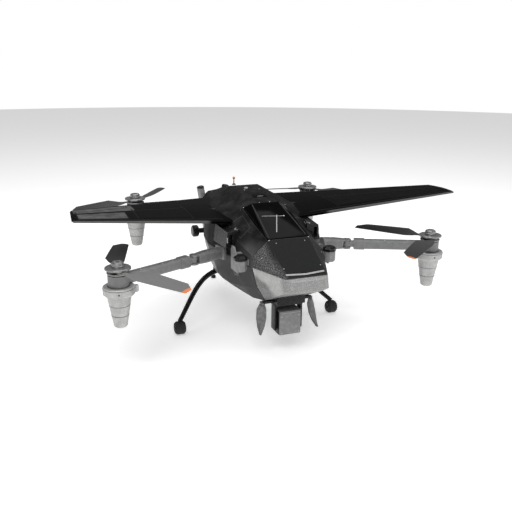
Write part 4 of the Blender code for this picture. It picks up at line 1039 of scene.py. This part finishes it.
def rotor_details():
    """Hub screws and cap ring, bell rings and pod seams of each rotor."""
    for rotor in ROTORS:
        hub_low, hub_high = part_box(rotor + "_hub")
        centre = (hub_low + hub_high) / 2
        cap = Piece(rotor + "_hub_screws", STEEL)
        top = Vector((centre.x, centre.y, hub_high.z))
        for index in range(4):
            angle = math.pi / 4 + index * math.pi / 2
            out = Vector((math.cos(angle), math.sin(angle), 0.0))
            cap.screw(top + out * CAP_SCREW_CIRCLE - UP * 0.0002, UP, 0.0011)
        cap.hoop(top - UP * 0.0060, UP, CAP_RADIUS, 0.0004)
        cap.fix(rotor + "_rotor")
        body = rotor + "_folding_arm" if rotor.startswith("front") else "airframe"
        low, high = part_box(rotor + "_motor")
        bell = Piece(rotor + "_motor_rings", BLACK)
        for share in (0.16, 0.34):
            bell.hoop((centre.x, centre.y, low.z + share * (high.z - low.z)), UP, BELL_RADIUS, 0.0004)
        bell.fix(body)
        low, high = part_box(rotor + "_motor_pod")
        seams = Piece(rotor + "_pod_seams", DARK)
        seams.hoop((centre.x, centre.y, high.z - 0.0030), UP, COLLAR_RADIUS, TRIM_HEIGHT)
        for share in (0.30, 0.62):
            level = high.z - COLLAR_HEIGHT - share * CONE_LENGTH
            seams.hoop((centre.x, centre.y, level), UP, CONE_RADIUS - CONE_TAPER * share, TRIM_HEIGHT)
        for index in range(3):
            angle = math.radians(20 + 120 * index)
            out = Vector((math.cos(angle), math.sin(angle), 0.0))
            seams.screw(Vector((centre.x, centre.y, high.z - 0.0080)) + out * COLLAR_RADIUS, out, 0.0014)
        seams.fix(body)


def arm_details():
    """Clamp and hinge fasteners along the front and rear arms."""
    fixed = Piece("arm_root_fasteners", STEEL)
    for name, side in SIDES:
        moving = Piece(f"front_{name}_arm_fasteners", STEEL)
        arm = Surface(f"front_{name}_arm")
        for across, along in ((0.30, 0.66), (0.42, 0.55), (0.66, 0.36), (0.78, 0.27)):
            place = inside(f"front_{name}_arm", across if side > 0 else 1.0 - across, along)
            moving.screw(*arm.cast(place, DOWN), 0.0012)
        moving.fix(f"front_{name}_folding_arm")
        root = Surface(f"front_{name}_arm_root")
        for across, along in ((0.25, 0.66), (0.50, 0.46), (0.89, 0.16)):
            place = inside(f"front_{name}_arm_root", across if side > 0 else 1.0 - across, along)
            fixed.screw(*root.cast(place, DOWN), 0.0013)
        rear = Surface(f"rear_{name}_arm")
        for across in (0.35, 0.62, 0.74):
            place = inside(f"rear_{name}_arm", across if side > 0 else 1.0 - across, 0.5)
            fixed.screw(*rear.cast(place, DOWN), 0.0012)
    fixed.fix("airframe")


def camera_details():
    """A pale strip along the top edge of the camera front as a painted highlight, the groove, pivot rings
    and screws of the camera.
    """
    low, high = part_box("camera")
    ahead = (0.0, -1.0, 0.0)
    # Pale strip along the top edge: a painted highlight.
    bright = Piece("camera_top_edge_highlight", PALE)
    bright.slab(Vector((0.0, low.y + 0.0004, high.z - 0.0042)), (0.0370, 0.0010, 0.0005), ahead, 0.0002)
    bright.fix("camera_body")
    groove = Piece("camera_groove", BLACK)
    groove.slab(Vector((0.0, low.y + 0.0004, high.z - 0.0068)), (0.0390, 0.0018, 0.0003), ahead, 0.0001)
    for side in (1.0, -1.0):
        pivot = Vector((side * 0.0212, (low.y + high.y) / 2, high.z - 0.0315))
        groove.hoop(pivot, (side, 0.0, 0.0), 0.0062, 0.0005)
    groove.fix("camera_body")
    screws = Piece("camera_screws", STEEL)
    for across in (-0.0165, 0.0165):
        for up in (0.0045, 0.0360):
            screws.screw(Vector((across, low.y + 0.0002, low.z + up)), ahead, 0.0010)
    screws.fix("camera_body")


def gear_details():
    """Rims and hub caps on both feet."""
    rims = Piece("foot_rims", BLACK)
    hub_cap = ((0.0040, -0.0005), (0.0036, 0.0007), (0.0018, 0.0010))
    for name, side in SIDES:
        low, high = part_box("foot_" + name)
        centre = (low + high) / 2
        for x in (low.x, high.x):
            rims.hoop((x, centre.y, centre.z), (1.0, 0.0, 0.0), 0.0098, 0.0006)
            outward = (1.0 if x > centre.x else -1.0, 0.0, 0.0)
            rims.round((x, centre.y, centre.z), outward, hub_cap, 16)
    rims.fix("airframe")


# ---------------------------------------------------------------- everything made

make_studio()
dress_nodes()
dress_blades()
canopy_details()
roof_details()
bonnet_details()
intake_details()
wing_details()
rotor_details()
arm_details()
camera_details()
gear_details()
